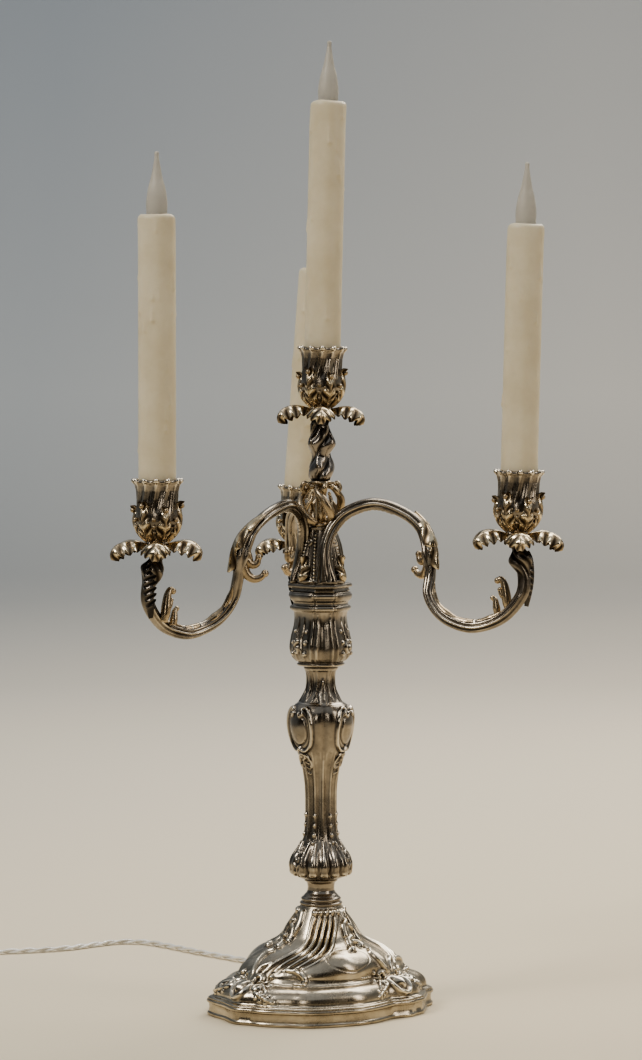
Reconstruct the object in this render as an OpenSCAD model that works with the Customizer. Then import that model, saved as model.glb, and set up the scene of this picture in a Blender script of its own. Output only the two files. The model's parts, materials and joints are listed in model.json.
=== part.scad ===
// Four-light electrified candelabra: a baluster candlestick that carries a
// branch unit with three scrolled arms and a raised centre light.
// Millimetres, +Z up, origin at the centre of the foot's underside.
// Light 0 is the raised centre light, 1 is to the right, 2 behind, 3 to the left.

/* [Candle sleeves] */
// Outer diameter of a candle sleeve
sleeve_d = 22; // [21:0.5:22]
// Wall of a candle sleeve
sleeve_wall = 1.6; // [1:0.1:1.8]
// How far a bulb's tip stands above its sleeve
bulb_show = 37; // [34:1:40]

/* [Lamp parts] */
// Diameter of a bulb at its widest
bulb_d = 12.5; // [11:0.5:13]
// Diameter of a bulb's screw cap
cap_d = 9.5; // [9:0.1:9.5]
// Rise of a bulb over its whole unscrewing
cap_travel = 9.1; // [8:0.1:9.4]
// Radial running gap between a screw cap and its holder
cap_gap = 0.1; // [0.05:0.01:0.1]

/* [Branches] */
// Radius of a drip pan at its leaf tips
pan_r = 29; // [26:0.5:30]
// Thinnest radius of an arm
arm_r = 3.5; // [3.2:0.1:4]
// Radius of the wire way through an arm
arm_bore_r = 2.1; // [1.9:0.1:2.2]

/* [Stem] */
// Radius of the hole along the stem that the tie pipe passes
stem_bore_r = 5.2; // [5.1:0.05:5.4]
// Radius of the tie pipe
pipe_r = 5; // [4.8:0.05:5]

/* [Mains cord] */
// Diameter of the twisted mains cord
cord_d = 3.8; // [3.4:0.1:3.8]
// Azimuth of the cord's exit, anticlockwise from +X seen from above
exit_az = 100; // [95:1:105]

/* [Hidden] */
$fn = 64;

silver = [0.74, 0.70, 0.62];
dark_silver = [0.36, 0.33, 0.30];
brass_tone = [0.78, 0.62, 0.34];
wax = [0.93, 0.89, 0.77];
frosted = [0.90, 0.90, 0.90, 0.7];
cord_tone = [0.86, 0.84, 0.78];
black = [0.10, 0.10, 0.11];

// One row a light: x, y, height of the pan, top of the sleeve above the pan,
// and the lean of the light towards +X in degrees.
LIGHTS = [
    [0, 0, 365.5, 190, 1.3],
    [117, -46, 291, 187, 1.4],
    [-16, 130, 278, 183, 4],
    [-95.5, -82.5, 286.5, 194.5, 0]
];
light_ids = [0, 1, 2, 3];
arm_ids = [1, 2, 3];

// Levels of the stem parts
rim_h = 10.5;
foot_top = 65;
neck_top = 81;
stem_top = 211;
socket_top = 257;
collar_top = 262.5;
housing_top = 297;
cage_top = 325;
twist_top = 361;
spigot_bottom = 228;

// Levels of a light, above its pan's underside
pan_t = 1.4;
nozzle_floor = 15;
nozzle_top = 40.5;
nozzle_bore_r = sleeve_d / 2 + 0.3;
rest_gap = 0.3;
holder_down = 12;
holder_h = 36;
holder_r = 7.6;
lamp_stem_r = 4;
lamp_bore_r = 2.4;
lead_r = 1.4;

cord_r = cord_d / 2;
cord_z = 2;
exit_z = 6;
relief_l = 24;

// ---------------------------------------------------------------- helpers

function unit(v) = v / norm(v);
function spin(p, a) = [p.x * cos(a) - p.y * sin(a), p.x * sin(a) + p.y * cos(a), p.z];
function polar(r, a, z) = [r * cos(a), r * sin(a), z];

// A point between b and c on the smooth curve through a, b, c and d
function curve_point(a, b, c, d, t) =
    0.5 * (2 * b + (c - a) * t + (2 * a - 5 * b + 4 * c - d) * t * t
        + (3 * b - a - 3 * c + d) * t * t * t);

// A smooth curve through the points, with steps to each stretch
function smooth_path(points, steps) = let (last = len(points) - 1) concat(
    [for (i = [0:last - 1], s = [0:steps - 1])
        curve_point(points[max(i - 1, 0)], points[i], points[i + 1],
            points[min(i + 2, last)], s / steps)],
    [points[last]]
);

function headings(path) = let (last = len(path) - 1)
    [for (i = [0:last]) unit(path[min(i + 1, last)] - path[max(i - 1, 0)])];

function square_to(v, heading) = unit(v - heading * (v * heading));

// Side directions carried along the path without turning about it
function sides_along(ways, first) = let (last = len(ways) - 1)
    [for (i = 0, s = square_to(first, ways[0]); i <= last;
        s = square_to(s, ways[min(i + 1, last)]), i = i + 1) s];

// Rings of points round a path, one radius a ring
function rings(path, radii, count, first) =
    let (ways = headings(path), across = sides_along(ways, first))
    [for (i = [0:len(path) - 1], j = [0:count - 1])
        let (a = 360 * j / count, up = cross(ways[i], across[i]))
        path[i] + radii[i] * (across[i] * cos(a) + up * sin(a))];

// Quads that join ring after ring; base is the index of the first point
function ring_faces(ring_count, count, base, inward) =
    [for (i = [0:ring_count - 2], j = [0:count - 1])
        let (n = (j + 1) % count, a = base + i * count, b = a + count)
        inward ? [a + j, a + n, b + n, b + j] : [a + j, b + j, b + n, a + n]];

function even(value, count) = [for (i = [1:count]) value];

// A solid round bar along a path
module bar(path, radii, count, first = [0, 0, 1]) {
    last = (len(path) - 1) * count;
    polyhedron(
        points = rings(path, radii, count, first),
        faces = concat(
            ring_faces(len(path), count, 0, false),
            [[for (j = [0:count - 1]) j]],
            [[for (j = [count - 1:-1:0]) last + j]]
        ),
        convexity = 8
    );
}

// A round pipe along a path, open at both ends
module pipe(path, radii, bore, count, first = [0, 0, 1]) {
    n = len(path);
    inner = n * count;
    last = (n - 1) * count;
    polyhedron(
        points = concat(
            rings(path, radii, count, first),
            rings(path, even(bore, n), count, first)
        ),
        faces = concat(
            ring_faces(n, count, 0, false),
            ring_faces(n, count, inner, true),
            [for (j = [0:count - 1]) let (m = (j + 1) % count) [j, m, inner + m, inner + j]],
            [for (j = [0:count - 1]) let (m = (j + 1) % count, a = last)
                [a + j, inner + a + j, inner + a + m, a + m]]
        ),
        convexity = 8
    );
}

// A ring of revolution from its outline, with a round hole along its axis
module turned(outline, bore) {
    low = outline[0].y;
    high = outline[len(outline) - 1].y;
    rotate_extrude() polygon(concat([[bore, low]], outline, [[bore, high]]));
}

// ---------------------------------------------------------------- foot

// The foot's contoured plan: azimuth and radius, repeated half a turn on
PLAN = [[-166, 71], [-150, 68], [-138, 70], [-128, 66], [-105, 61], [-70, 56],
    [-36, 53], [-20, 61], [-11, 64], [4, 65], [14, 71]];
plan_mean = 66;

function plan_at(a, i = 0) = a <= PLAN[i + 1].x
    ? let (t = (a - PLAN[i].x) / (PLAN[i + 1].x - PLAN[i].x))
        PLAN[i].y + (PLAN[i + 1].y - PLAN[i].y) * (3 - 2 * t) * t * t
    : plan_at(a, i + 1);
function plan_r(a) = plan_at(((a + 166) % 180 + 180) % 180 - 166);

// How strongly the plan shows at a level: fully at the rim, not at the neck
function plan_share(z) = z <= 24 ? 1 : z >= 46 ? 0 : (46 - z) / 22;

plan_step = 5;
plan_angles = [for (a = [0:plan_step:360 - plan_step]) a];

module plan_shape(inset) {
    polygon([for (a = plan_angles) (plan_r(a) - inset) * [cos(a), sin(a)]]);
}

border_wall = 3.6;
dome_top_wall = 2.4;
dome_wall = [1.7, 2];
nut_h = 5;
nut_r = 8;
nut_gap = 0.2;
exit_r = plan_r(exit_az) + relief_l;
exit_point = polar(exit_r, exit_az, exit_z);

// Turns a part that runs along +Z at the origin out through the foot's rim
module along_exit() {
    translate([0, 0, exit_z]) rotate([0, 90, exit_az]) children();
}

// Moulded band that the foot stands on
module foot_border() {
    color(silver) difference() {
        linear_extrude(rim_h) plan_shape(0);
        translate([0, 0, -1]) linear_extrude(rim_h + 2) plan_shape(border_wall);
        along_exit() translate([0, 0, 40]) cylinder(h = 40, r = 3.5);
    }
}

FOOT_OUTLINE = [[65, rim_h], [62, 13], [59.5, 18.5], [55, 21.8], [48.5, 23.5], [48, 27],
    [46.5, 30.5], [43, 34.5], [36.5, 38.5], [28, 42], [23, 46], [20, 52], [17, 57],
    [13.6, 61.5], [12.6, foot_top]];

// Cross-section of the hollow dome, once round: outside upwards, inside downwards
foot_section = let (last = len(FOOT_OUTLINE) - 1) concat(
    FOOT_OUTLINE,
    [for (z = [foot_top, foot_top - dome_top_wall]) [stem_bore_r, z]],
    [[nut_r + 1, foot_top - dome_top_wall]],
    [for (i = [last - 1:-1:1]) FOOT_OUTLINE[i] - dome_wall],
    [[61.5, rim_h]]
);

// Domed casting with the contours of the rim fading out towards the neck
module foot_dome() {
    n = len(foot_section);
    m = len(plan_angles);
    color(silver) polyhedron(
        points = [for (a = plan_angles, p = foot_section)
            polar(p.x * (1 + plan_share(p.y) * (plan_r(a) / plan_mean - 1)), a, p.y)],
        faces = [for (j = [0:m - 1], i = [0:n - 1])
            let (k = (j + 1) % m, h = (i + 1) % n) [j * n + i, j * n + h, k * n + h, k * n + i]],
        convexity = 6
    );
}

// Felt glued inside the band, level with its lower edge
module felt_pad() {
    color(black) linear_extrude(2) plan_shape(border_wall + 0.3);
}

// Rubber strain relief, thick at the rim and thin where the cord leaves it
module cord_bushing() {
    wall_r = plan_r(exit_az);
    inside = wall_r - border_wall;
    color(black) along_exit() rotate_extrude() polygon([
        [cord_r + 0.1, inside - 4], [3.8, inside - 4], [3.8, inside - 0.6], [3.3, inside - 0.6],
        [3.3, wall_r + 0.6], [4.4, wall_r + 0.6], [4.4, wall_r + 4], [2.9, exit_r],
        [cord_r + 0.1, exit_r]
    ]);
}

// ---------------------------------------------------------------- stem

// Turned ring mouldings and short neck between foot and baluster
module foot_neck() {
    color(silver) turned([[12.4, foot_top], [12.6, 66.5], [11.4, 67.6], [12, 69], [11.2, 70.4],
        [9.4, 71.4], [8.2, 74.5], [8.6, 78], [9.6, 80], [9.6, neck_top]], stem_bore_r);
}

// Baluster: leaf-cut lower bulb, fluted waist, knop and upper neck
module stem() {
    color(silver) turned([[10, neck_top], [14.6, 83.4], [18, 87], [18.6, 90.5], [17.2, 94.6],
        [14, 99], [11.4, 103.6], [9.8, 109], [9, 119], [9, 133], [9.8, 143], [12, 153],
        [16, 162.4], [18.6, 170.5], [19.5, 178], [18.6, 184], [15.6, 188.4], [11.6, 192.6],
        [8.6, 197], [8, 202], [8.6, 207], [10.6, stem_top]], stem_bore_r);
}

// Vase-shaped socket at the stem's head, bored to take the branch unit's spigot
module socket_vase() {
    color(silver) difference() {
        turned([[10.6, stem_top], [14, 213.6], [17.4, 217.6], [18.2, 222.6], [17, 229], [15.6, 236],
            [15.8, 243], [16.4, 246.5], [17.4, 247.4], [17.4, 250.4], [16.6, 251.4], [17.6, 252.6],
            [17.6, socket_top]], stem_bore_r);
        translate([0, 0, spigot_bottom]) cylinder(h = 40, r = 12.2);
    }
}

pipe_low = 50;
pipe_high = collar_top + 5.5;

// Threaded hollow rod that clamps foot, stem and branch unit together
module tie_pipe() {
    color(brass_tone) translate([0, 0, pipe_low]) difference() {
        cylinder(h = pipe_high - pipe_low, r = pipe_r);
        translate([0, 0, -1]) cylinder(h = pipe_high - pipe_low + 2, r = 3.4);
    }
}

module hex_nut() {
    difference() {
        cylinder(h = nut_h, r = nut_r, $fn = 6);
        translate([0, 0, -1]) cylinder(h = nut_h + 2, r = pipe_r + 0.05);
    }
}

// Two hexagon nuts on the tie pipe, under the foot and above the collar
module pipe_nuts() {
    color(brass_tone) {
        translate([0, 0, foot_top - dome_top_wall - nut_h - nut_gap]) hex_nut();
        translate([0, 0, collar_top + nut_gap]) hex_nut();
    }
}

main_lead_path = smooth_path([exit_point, polar(60, exit_az, exit_z), polar(30, exit_az, exit_z),
    polar(14, exit_az, exit_z + 1), polar(4, exit_az, 15), [0, 0, 32], [0, 0, 50], [0, 0, 150],
    [0, 0, collar_top + 1.5]], 4);

// Mains cord from the strain relief up through the tie pipe
module main_lead() {
    n = len(main_lead_path);
    color(cord_tone) bar(main_lead_path, even(cord_r, n), 8);
}

// Two closed-end splices that join the cord to the four light leads
module wire_splices() {
    color(wax) for (side = [-1, 1])
        translate([3.2 * side, 0, pipe_high + 2]) cylinder(h = 9, r1 = 2.6, r2 = 2.6);
}

// ---------------------------------------------------------------- branch unit

// Azimuth of the arm roots: the front face of the collar, then a third of a turn each
root_az = [-78, 42, 162];
face_az = -83;
face_half = 18;
collar_r = 19.8;
wire_hole_z = 270;
wire_hole_r = 1.9;
seat_gap = 0.05;

// Six-sided collar with three narrow faces, and the spigot below it
module branch_collar() {
    color(silver) difference() {
        union() {
            translate([0, 0, socket_top + 0.1]) linear_extrude(collar_top - socket_top - 0.1)
                polygon([for (i = [0:2], side = [-1, 1])
                    let (a = face_az + 120 * i + face_half * side) collar_r * [cos(a), sin(a)]]);
            translate([0, 0, spigot_bottom + 0.3])
                cylinder(h = socket_top - spigot_bottom, r = 12);
        }
        translate([0, 0, spigot_bottom - 1]) cylinder(h = 50, r = stem_bore_r);
    }
}

// Hollow cone that the arms are brazed to, with a wire hole behind each arm
module branch_housing() {
    color(silver) difference() {
        translate([0, 0, collar_top]) rotate_extrude() polygon([
            [11, 0], [12.8, 0], [11.6, 9], [9, 20.5], [6.6, 30], [6.4, housing_top - collar_top],
            [2, housing_top - collar_top], [2, 31.5], [4.6, 30.2], [7.2, 20], [9.8, 9]]);
        for (a = root_az) translate([0, 0, wire_hole_z]) rotate([0, 90, a])
            translate([0, 0, 6]) cylinder(h = 8, r = wire_hole_r);
    }
}

cage_h = cage_top - housing_top;
cage_bow_r = 13;

// One bowed rib of the scroll cage
module cage_rib() {
    translate([-2.8, 0, housing_top + cage_h / 2]) rotate([90, 0, 0]) rotate([0, 0, -66])
        rotate_extrude(angle = 132) translate([cage_bow_r, 0]) circle(r = 1.8, $fn = 24);
}

// Open cage of four scrolled ribs round a wire tube
module scroll_cage() {
    color(silver) difference() {
        union() {
            translate([0, 0, housing_top]) cylinder(h = cage_h, r = 3.4);
            translate([0, 0, housing_top]) cylinder(h = 2.4, r = 6.4);
            translate([0, 0, cage_top - 2.4]) cylinder(h = 2.4, r = 6.6);
            for (i = [0:3]) rotate([0, 0, 45 + 90 * i]) cage_rib();
        }
        translate([0, 0, housing_top - 1]) cylinder(h = cage_h + 2, r = 2);
    }
}

twist_h = twist_top - cage_top;

// Twisted stem of three strands below the centre light
module twist_stem() {
    color(dark_silver) difference() {
        union() {
            translate([0, 0, cage_top]) linear_extrude(twist_h, twist = -250, slices = 26)
                for (i = [0:2]) rotate([0, 0, 120 * i]) translate([3.6, 0]) circle(r = 3.9, $fn = 20);
            translate([0, 0, twist_top - 1]) cylinder(h = LIGHTS[0].z - twist_top + 0.8, r = 5.6);
        }
        translate([0, 0, cage_top - 1]) cylinder(h = 60, r = 2);
    }
}

// The right arm's centreline; the others are turned copies, eased to their own lights
ARM_POINTS = [[3, -14, 262.7], [2.6, -12.8, 275], [3, -11, 286], [8, -8, 298], [18, -6, 307],
    [34, -5, 311], [51, -9, 305], [61, -13, 296], [66, -17, 283], [66, -20, 268], [65, -24, 257],
    [70, -29, 247], [79, -35, 240.5], [92, -41, 238], [108, -47, 244], [119, -50, 257],
    [121, -49, 269], [118.4, -47, 281], [117, -46, 291]];
arm_last = len(ARM_POINTS) - 1;

function arm_path(k) = let (
    turn = 120 * (k - 1),
    target = [LIGHTS[k].x, LIGHTS[k].y, LIGHTS[k].z],
    shift = target - spin(ARM_POINTS[arm_last], turn)
) smooth_path([for (i = [0:arm_last]) spin(ARM_POINTS[i], turn) + shift * pow(i / arm_last, 2)], 3);

function arm_radii(n) = [for (i = [0:n - 1]) arm_r + 1.1 * pow(abs(2 * i / (n - 1) - 1), 4)];

// Scrolled arm, cast hollow for its wire, and filed flat where collar and pan meet it
module arm(k) {
    path = arm_path(k);
    cut_h = 10;
    color(silver) difference() {
        pipe(path, arm_radii(len(path)), arm_bore_r, 12, [1, 0, 0]);
        translate([0, 0, wire_hole_z]) rotate([0, 90, root_az[k - 1]]) cylinder(h = 14, r = wire_hole_r);
        translate([0, 0, collar_top + seat_gap - cut_h]) cylinder(h = cut_h, r = 30);
        at_light(k) translate([0, 0, -seat_gap]) cylinder(h = cut_h, r = 12);
    }
}

// ---------------------------------------------------------------- lights

// Places a light's parts, upright at the origin, at light k with its lean
module at_light(k) {
    translate([LIGHTS[k][0], LIGHTS[k][1], LIGHTS[k][2]]) rotate([0, LIGHTS[k][4], 0]) children();
}
function light_point(k, h) = [LIGHTS[k].x + h * sin(LIGHTS[k][4]), LIGHTS[k].y,
    LIGHTS[k].z + h * cos(LIGHTS[k][4])];
function sleeve_top(k) = LIGHTS[k][3];
function holder_top(k) = sleeve_top(k) - holder_down;
function holder_low(k) = holder_top(k) - holder_h;

// Drip pan with a drooping edge
module pan(k) {
    color(silver) at_light(k) rotate_extrude() polygon([
        [lamp_stem_r + 0.2, 0], [7, 0], [14, 1], [21, 0.6], [26, -2.6], [pan_r - 0.8, -7],
        [pan_r, -6.4], [26.8, -1.4], [21.6, 2.2], [14, 2.6], [7, pan_t], [lamp_stem_r + 0.2, pan_t]]);
}

// Candle cup with a waist; its floor carries the sleeve
module nozzle(k) {
    color(silver) at_light(k) rotate_extrude() polygon([
        [lamp_stem_r + 0.2, pan_t], [5.8, pan_t], [5.4, 4], [9, 6.6], [12.8, 10.6], [14.5, 15.6],
        [14.1, 20], [12.7, 24], [12.1, 29], [12.3, 34], [13.6, 38], [14.4, 39.4],
        [14.4, nozzle_top], [nozzle_bore_r, nozzle_top], [nozzle_bore_r, nozzle_floor],
        [lamp_stem_r + 0.2, nozzle_floor]]);
}

// Hollow threaded stem that clamps pan and nozzle and carries the holder
module lamp_stem(k) {
    color(brass_tone) at_light(k) difference() {
        cylinder(h = holder_low(k), r = lamp_stem_r);
        translate([0, 0, -1]) cylinder(h = holder_low(k) + 2, r = lamp_bore_r);
    }
}

cap_h = 9.6;
cap_tip = 1;
holder_bore_r = cap_d / 2 + cap_gap;

// Screw lampholder at the top of the lamp stem
module holder(k) {
    color(wax) at_light(k) translate([0, 0, holder_low(k)]) rotate_extrude() polygon([
        [lamp_bore_r, 0], [6.2, 0], [holder_r, 2.4], [holder_r, holder_h - 0.8],
        [holder_r - 0.8, holder_h], [holder_bore_r, holder_h], [holder_bore_r, holder_h - 12],
        [3, holder_h - 12], [3, 8], [lamp_bore_r, 8]]);
}

// Wire from the branch housing through the arm and lamp stem to the holder
module lead(k) {
    root = root_az[k - 1];
    top = light_point(k, holder_low(k) + 20);
    low = k == 0
        ? [[0, 0, pipe_high + 13], [0, 0, 320], [0, 0, 364]]
        : concat([polar(6, root, wire_hole_z), polar(10.6, root, wire_hole_z + 0.4)],
            [for (i = [6:len(arm_path(k)) - 1]) arm_path(k)[i]]);
    path = concat(low, [light_point(k, 8), light_point(k, 60), top]);
    color(cord_tone) bar(path, even(lead_r, len(path)), 8, [1, 0, 0]);
}

// Wax-look sleeve, open at the bottom, with a soft shoulder round its top hole
module sleeve(k) {
    r = sleeve_d / 2;
    in_r = r - sleeve_wall;
    top = sleeve_top(k);
    color(wax) at_light(k) rotate_extrude() polygon([
        [in_r, nozzle_floor + rest_gap], [r, nozzle_floor + rest_gap], [r, top - 2.6],
        [r - 0.3, top - 1.2], [r - 1, top - 0.3], [r - 1.8, top], [8.4, top], [8.2, top - 0.6],
        [8.2, top - 3], [in_r, top - 4.4]]);
}

// Bulb's screw cap with its centre contact
module cap(k) {
    color(brass_tone) at_light(k) translate([0, 0, holder_top(k) - cap_h]) {
        cylinder(h = cap_h, r = cap_d / 2);
        translate([0, 0, -cap_tip]) cylinder(h = cap_tip, r = 2);
    }
}

// Half outline of the flame-shaped glass, drawn inwards by wall
function flame(h, wall) = let (r = bulb_d / 2) [
    [0, wall], [4.8 - wall, wall], [5, 5], [r - 0.5, 10], [r, 17], [r - 0.3, 22], [4.9, 28],
    [3.4, 33.5], [2.2, h - 9], [1.4, h - 5]];

// Frosted flame-shaped glass with a small sealed tip
module bulb(k) {
    h = holder_down + bulb_show - rest_gap;
    glass = 0.7;
    outer = flame(h, 0);
    color(frosted) at_light(k) translate([0, 0, holder_top(k) + rest_gap]) difference() {
        union() {
            rotate_extrude() polygon(concat(outer, [[0, h - 5]]));
            translate([0, 0, h - 5.2]) cylinder(h = 4, r1 = 1.45, r2 = 1);
            translate([0, 0, h - 1.4]) sphere(r = 1.4, $fn = 32);
        }
        rotate_extrude() polygon([for (p = outer) [max(p.x - glass, 0), p.y == 0 ? glass : p.y]]);
    }
}

// ---------------------------------------------------------------- mains cord

COIL_AT = [-258, 160];
coil_mid_r = 21.3;
coil_half_w = 7.8;
coil_low = 1;
coil_high = 12.6;
plug_at = [-285, 94];
plug_z = 7;
plug_l = 34;

// Route on the table, from the strain relief to the coil
CORD_ROUTE = [[-17, 97, 4.6], [-22, 113, 2.4], [-35, 138, cord_z], [-51, 158, cord_z],
    [-67, 174, cord_z], [-84, 191, cord_z], [-103, 212, cord_z], [-121, 228, cord_z],
    [-139, 230, cord_z], [-156, 219, cord_z], [-172, 206, cord_z], [-194, 197, cord_z],
    [-217, 191, cord_z], [-231, 187.6, 2.4], [-243, 184.6, 2.8]];

TAIL_ROUTE = [[-285, 158, 6.7], [-285.4, 148, 6.8], [-285.2, 138, 7], [-285, 128, plug_z]];

// Mains cord where it isn't coiled: the run along the table, and the tail to the plug
module cord_tube() {
    run = smooth_path(concat([exit_point], CORD_ROUTE), 3);
    tail = smooth_path(TAIL_ROUTE, 2);
    color(cord_tone) {
        bar(run, even(cord_r, len(run)), 8);
        bar(tail, even(cord_r, len(tail)), 8);
    }
}

// Outer shape of the coil that holds the rest of the cord
module cord_coil() {
    color(cord_tone) translate([COIL_AT.x, COIL_AT.y, coil_low]) rotate_extrude() difference() {
        translate([coil_mid_r - coil_half_w, 0]) square([2 * coil_half_w, coil_high - coil_low]);
        for (x = [-1, 1], y = [0, coil_high - coil_low])
            translate([coil_mid_r + x * coil_half_w, y]) rotate([0, 0, 45]) square(2.4, center = true);
    }
}

// Flat tie round the coil's bundle
module coil_tie() {
    h = coil_high - coil_low;
    color(black) translate([COIL_AT.x, COIL_AT.y, 0]) rotate([0, 0, 20])
        translate([coil_mid_r, 3, coil_low + h / 2]) rotate([90, 0, 0]) linear_extrude(6) difference() {
            square([2 * coil_half_w + 1.8, h + 1.8], center = true);
            square([2 * coil_half_w + 0.2, h + 0.2], center = true);
        }
}

// Flat two-pin plug, lying beside the coil
module plug_body() {
    color(black) translate([plug_at.x, plug_at.y, plug_z]) {
        rotate([-90, 0, 0]) linear_extrude(24) difference() {
            square([35, 13.6], center = true);
            for (x = [-1, 1], y = [-1, 1])
                translate([17.5 * x, 6.8 * y]) rotate([0, 0, 45]) square(4, center = true);
        }
        translate([0, 24, 0]) rotate([-90, 0, 0]) rotate_extrude()
            polygon([[0, 0], [6.4, 0], [4.4, 5], [3.2, 10], [0, 10]]);
    }
}

pin_pitch = 18.6;
pin_l = 19;

// Round contact pins of the plug
module plug_pins() {
    color(brass_tone) for (side = [-1, 1])
        translate([plug_at.x + side * pin_pitch / 2, plug_at.y, plug_z])
            rotate([90, 0, 0]) cylinder(h = pin_l, r = 2);
}

// ---------------------------------------------------------------- nodes

foot_border();
foot_dome();
felt_pad();
cord_bushing();
foot_neck();
stem();
socket_vase();
tie_pipe();
pipe_nuts();
main_lead();
wire_splices();
branch_collar();
branch_housing();
scroll_cage();
twist_stem();
for (k = arm_ids) arm(k);
for (k = light_ids) {
    pan(k);
    nozzle(k);
    lamp_stem(k);
    holder(k);
    lead(k);
    sleeve(k);
    cap(k);
    bulb(k);
}
cord_tube();
cord_coil();
coil_tie();
plug_body();
plug_pins();
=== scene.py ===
import json
import math

import bpy
import numpy as np
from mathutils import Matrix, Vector


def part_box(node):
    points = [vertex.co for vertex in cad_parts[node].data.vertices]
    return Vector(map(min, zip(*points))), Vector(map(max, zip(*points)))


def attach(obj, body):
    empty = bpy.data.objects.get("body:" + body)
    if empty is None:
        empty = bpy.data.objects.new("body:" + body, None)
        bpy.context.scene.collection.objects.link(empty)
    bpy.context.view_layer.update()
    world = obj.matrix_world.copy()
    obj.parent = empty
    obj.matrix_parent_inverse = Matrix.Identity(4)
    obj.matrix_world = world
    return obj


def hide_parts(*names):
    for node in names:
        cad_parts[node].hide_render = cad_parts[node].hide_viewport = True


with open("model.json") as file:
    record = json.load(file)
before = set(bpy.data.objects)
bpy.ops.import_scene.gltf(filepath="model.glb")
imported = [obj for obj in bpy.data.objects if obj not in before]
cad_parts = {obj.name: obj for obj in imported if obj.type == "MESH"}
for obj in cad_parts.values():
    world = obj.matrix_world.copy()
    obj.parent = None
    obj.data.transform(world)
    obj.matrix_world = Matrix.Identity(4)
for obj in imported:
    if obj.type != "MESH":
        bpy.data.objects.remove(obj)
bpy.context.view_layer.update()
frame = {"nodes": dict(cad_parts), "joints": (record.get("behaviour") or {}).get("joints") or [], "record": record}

MM = 0.001
FRONT = -90.0          # azimuth that faces the camera, anticlockwise from +X
THIRDS = 3             # the metalwork repeats three times round the axis
FACE = -83.0           # azimuth of the front narrow face of collar and socket
LIGHTS = range(4)
ARMS = (1, 2, 3)
ROOT_BODY = "candelabra"
scene = bpy.context.scene


# ------------------------------------------------------------ curves and grids

def smooth_curve(points, count):
    """A Catmull-Rom curve through the points, resampled to count evenly spaced points."""
    p = np.array(points, float)
    p = np.vstack([2 * p[0] - p[1], p, 2 * p[-1] - p[-2]])
    t = np.linspace(0, 1, 13)[:-1, None]
    pieces = []
    for a, b, c, d in zip(p[:-3], p[1:-2], p[2:-1], p[3:]):
        pieces.append(0.5 * (2 * b + (c - a) * t + (2 * a - 5 * b + 4 * c - d) * t ** 2
                             + (3 * b - a - 3 * c + d) * t ** 3))
    return resample(np.vstack(pieces + [p[-2]]), count)


def resample(p, count):
    p = np.asarray(p, float)
    steps = np.linalg.norm(np.diff(p, axis=0), axis=1)
    along = np.concatenate([[0], np.cumsum(steps)])
    even = np.linspace(0, along[-1], count)
    return np.stack([np.interp(even, along, p[:, i]) for i in range(p.shape[1])], axis=1)


def arc_length(p):
    steps = np.linalg.norm(np.diff(p, axis=0), axis=1)
    return np.concatenate([[0], np.cumsum(steps)])


def blur(field, times):
    """Evens a grid out, wrapping round its columns."""
    for _ in range(times):
        field = (np.roll(field, 1, 1) + 2 * field + np.roll(field, -1, 1)) / 4
        up = np.vstack([field[:1], field[:-1]])
        down = np.vstack([field[1:], field[-1:]])
        field = (up + 2 * field + down) / 4
    return field


def unit_rows(v):
    return v / np.maximum(np.linalg.norm(v, axis=-1, keepdims=True), 1e-12)


def grid_normals(p):
    """Outward normals of a grid whose columns run anticlockwise and rows run upwards."""
    across = np.roll(p, -1, 1) - np.roll(p, 1, 1)
    along = np.gradient(p, axis=0)
    return unit_rows(np.cross(across, along))


def recess_of(relief, reach=6, scale=0.35):
    """0.5 on even ground, towards 0 on raised work and towards 1 in hollows."""
    return np.clip(0.5 + (blur(relief, reach) - relief) / (2 * scale), 0, 1)


def mesh_piece(name, part, body, material, sharp=None, nodes=()):
    """A mesh object in metres from (points in millimetres, faces, recess), riding on a body."""
    verts, faces, recess = part
    mesh = bpy.data.meshes.new(name)
    mesh.from_pydata((np.asarray(verts, float) * MM).tolist(), [], faces)
    attribute = mesh.attributes.new("recess", "FLOAT", "POINT")
    attribute.data.foreach_set("value", np.asarray(recess, np.float32).ravel())
    mesh.update()
    mesh.polygons.foreach_set("use_smooth", [True] * len(mesh.polygons))
    if sharp is not None:
        mesh.set_sharp_from_angle(angle=math.radians(sharp))
    piece = bpy.data.objects.new(name, mesh)
    scene.collection.objects.link(piece)
    piece.data.materials.append(material)
    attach(piece, body)
    if nodes:
        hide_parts(*nodes)
    return piece


def grid_faces(rows, cols, loop=False):
    """Quads over a grid of closed rings; loop also joins the last ring to the first."""
    r = np.arange(rows if loop else rows - 1)[:, None]
    c = np.arange(cols)[None, :]
    low, high = r * cols, (r + 1) % rows * cols
    after = (c + 1) % cols
    return np.stack([low + c, low + after, high + after, high + c], axis=-1).reshape(-1, 4).tolist()


def chased(grid, relief, reach, scale):
    """The closed skin of a grid with its relief raised on it, darkened in the hollows with tarnish and painted
    shade.
    """
    return closed_grid(grid + grid_normals(grid) * relief[..., None], recess_of(relief, reach, scale))


def closed_grid(grid, recess=None, loop=False):
    """Points, faces and recess values of a closed skin from rings, fanned shut unless it loops."""
    rows, cols, _ = grid.shape
    verts = grid.reshape(-1, 3)
    faces = grid_faces(rows, cols, loop)
    shade = np.full(len(verts), 0.5) if recess is None else recess.reshape(-1)
    if not loop:
        centre = len(verts)
        top = (rows - 1) * cols
        verts = np.vstack([verts, grid[0].mean(0), grid[-1].mean(0)])
        shade = np.concatenate([shade, [0.5, 0.5]])
        faces += [[(i + 1) % cols, i, centre] for i in range(cols)]
        faces += [[top + i, top + (i + 1) % cols, centre + 1] for i in range(cols)]
    return verts, faces, shade


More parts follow.
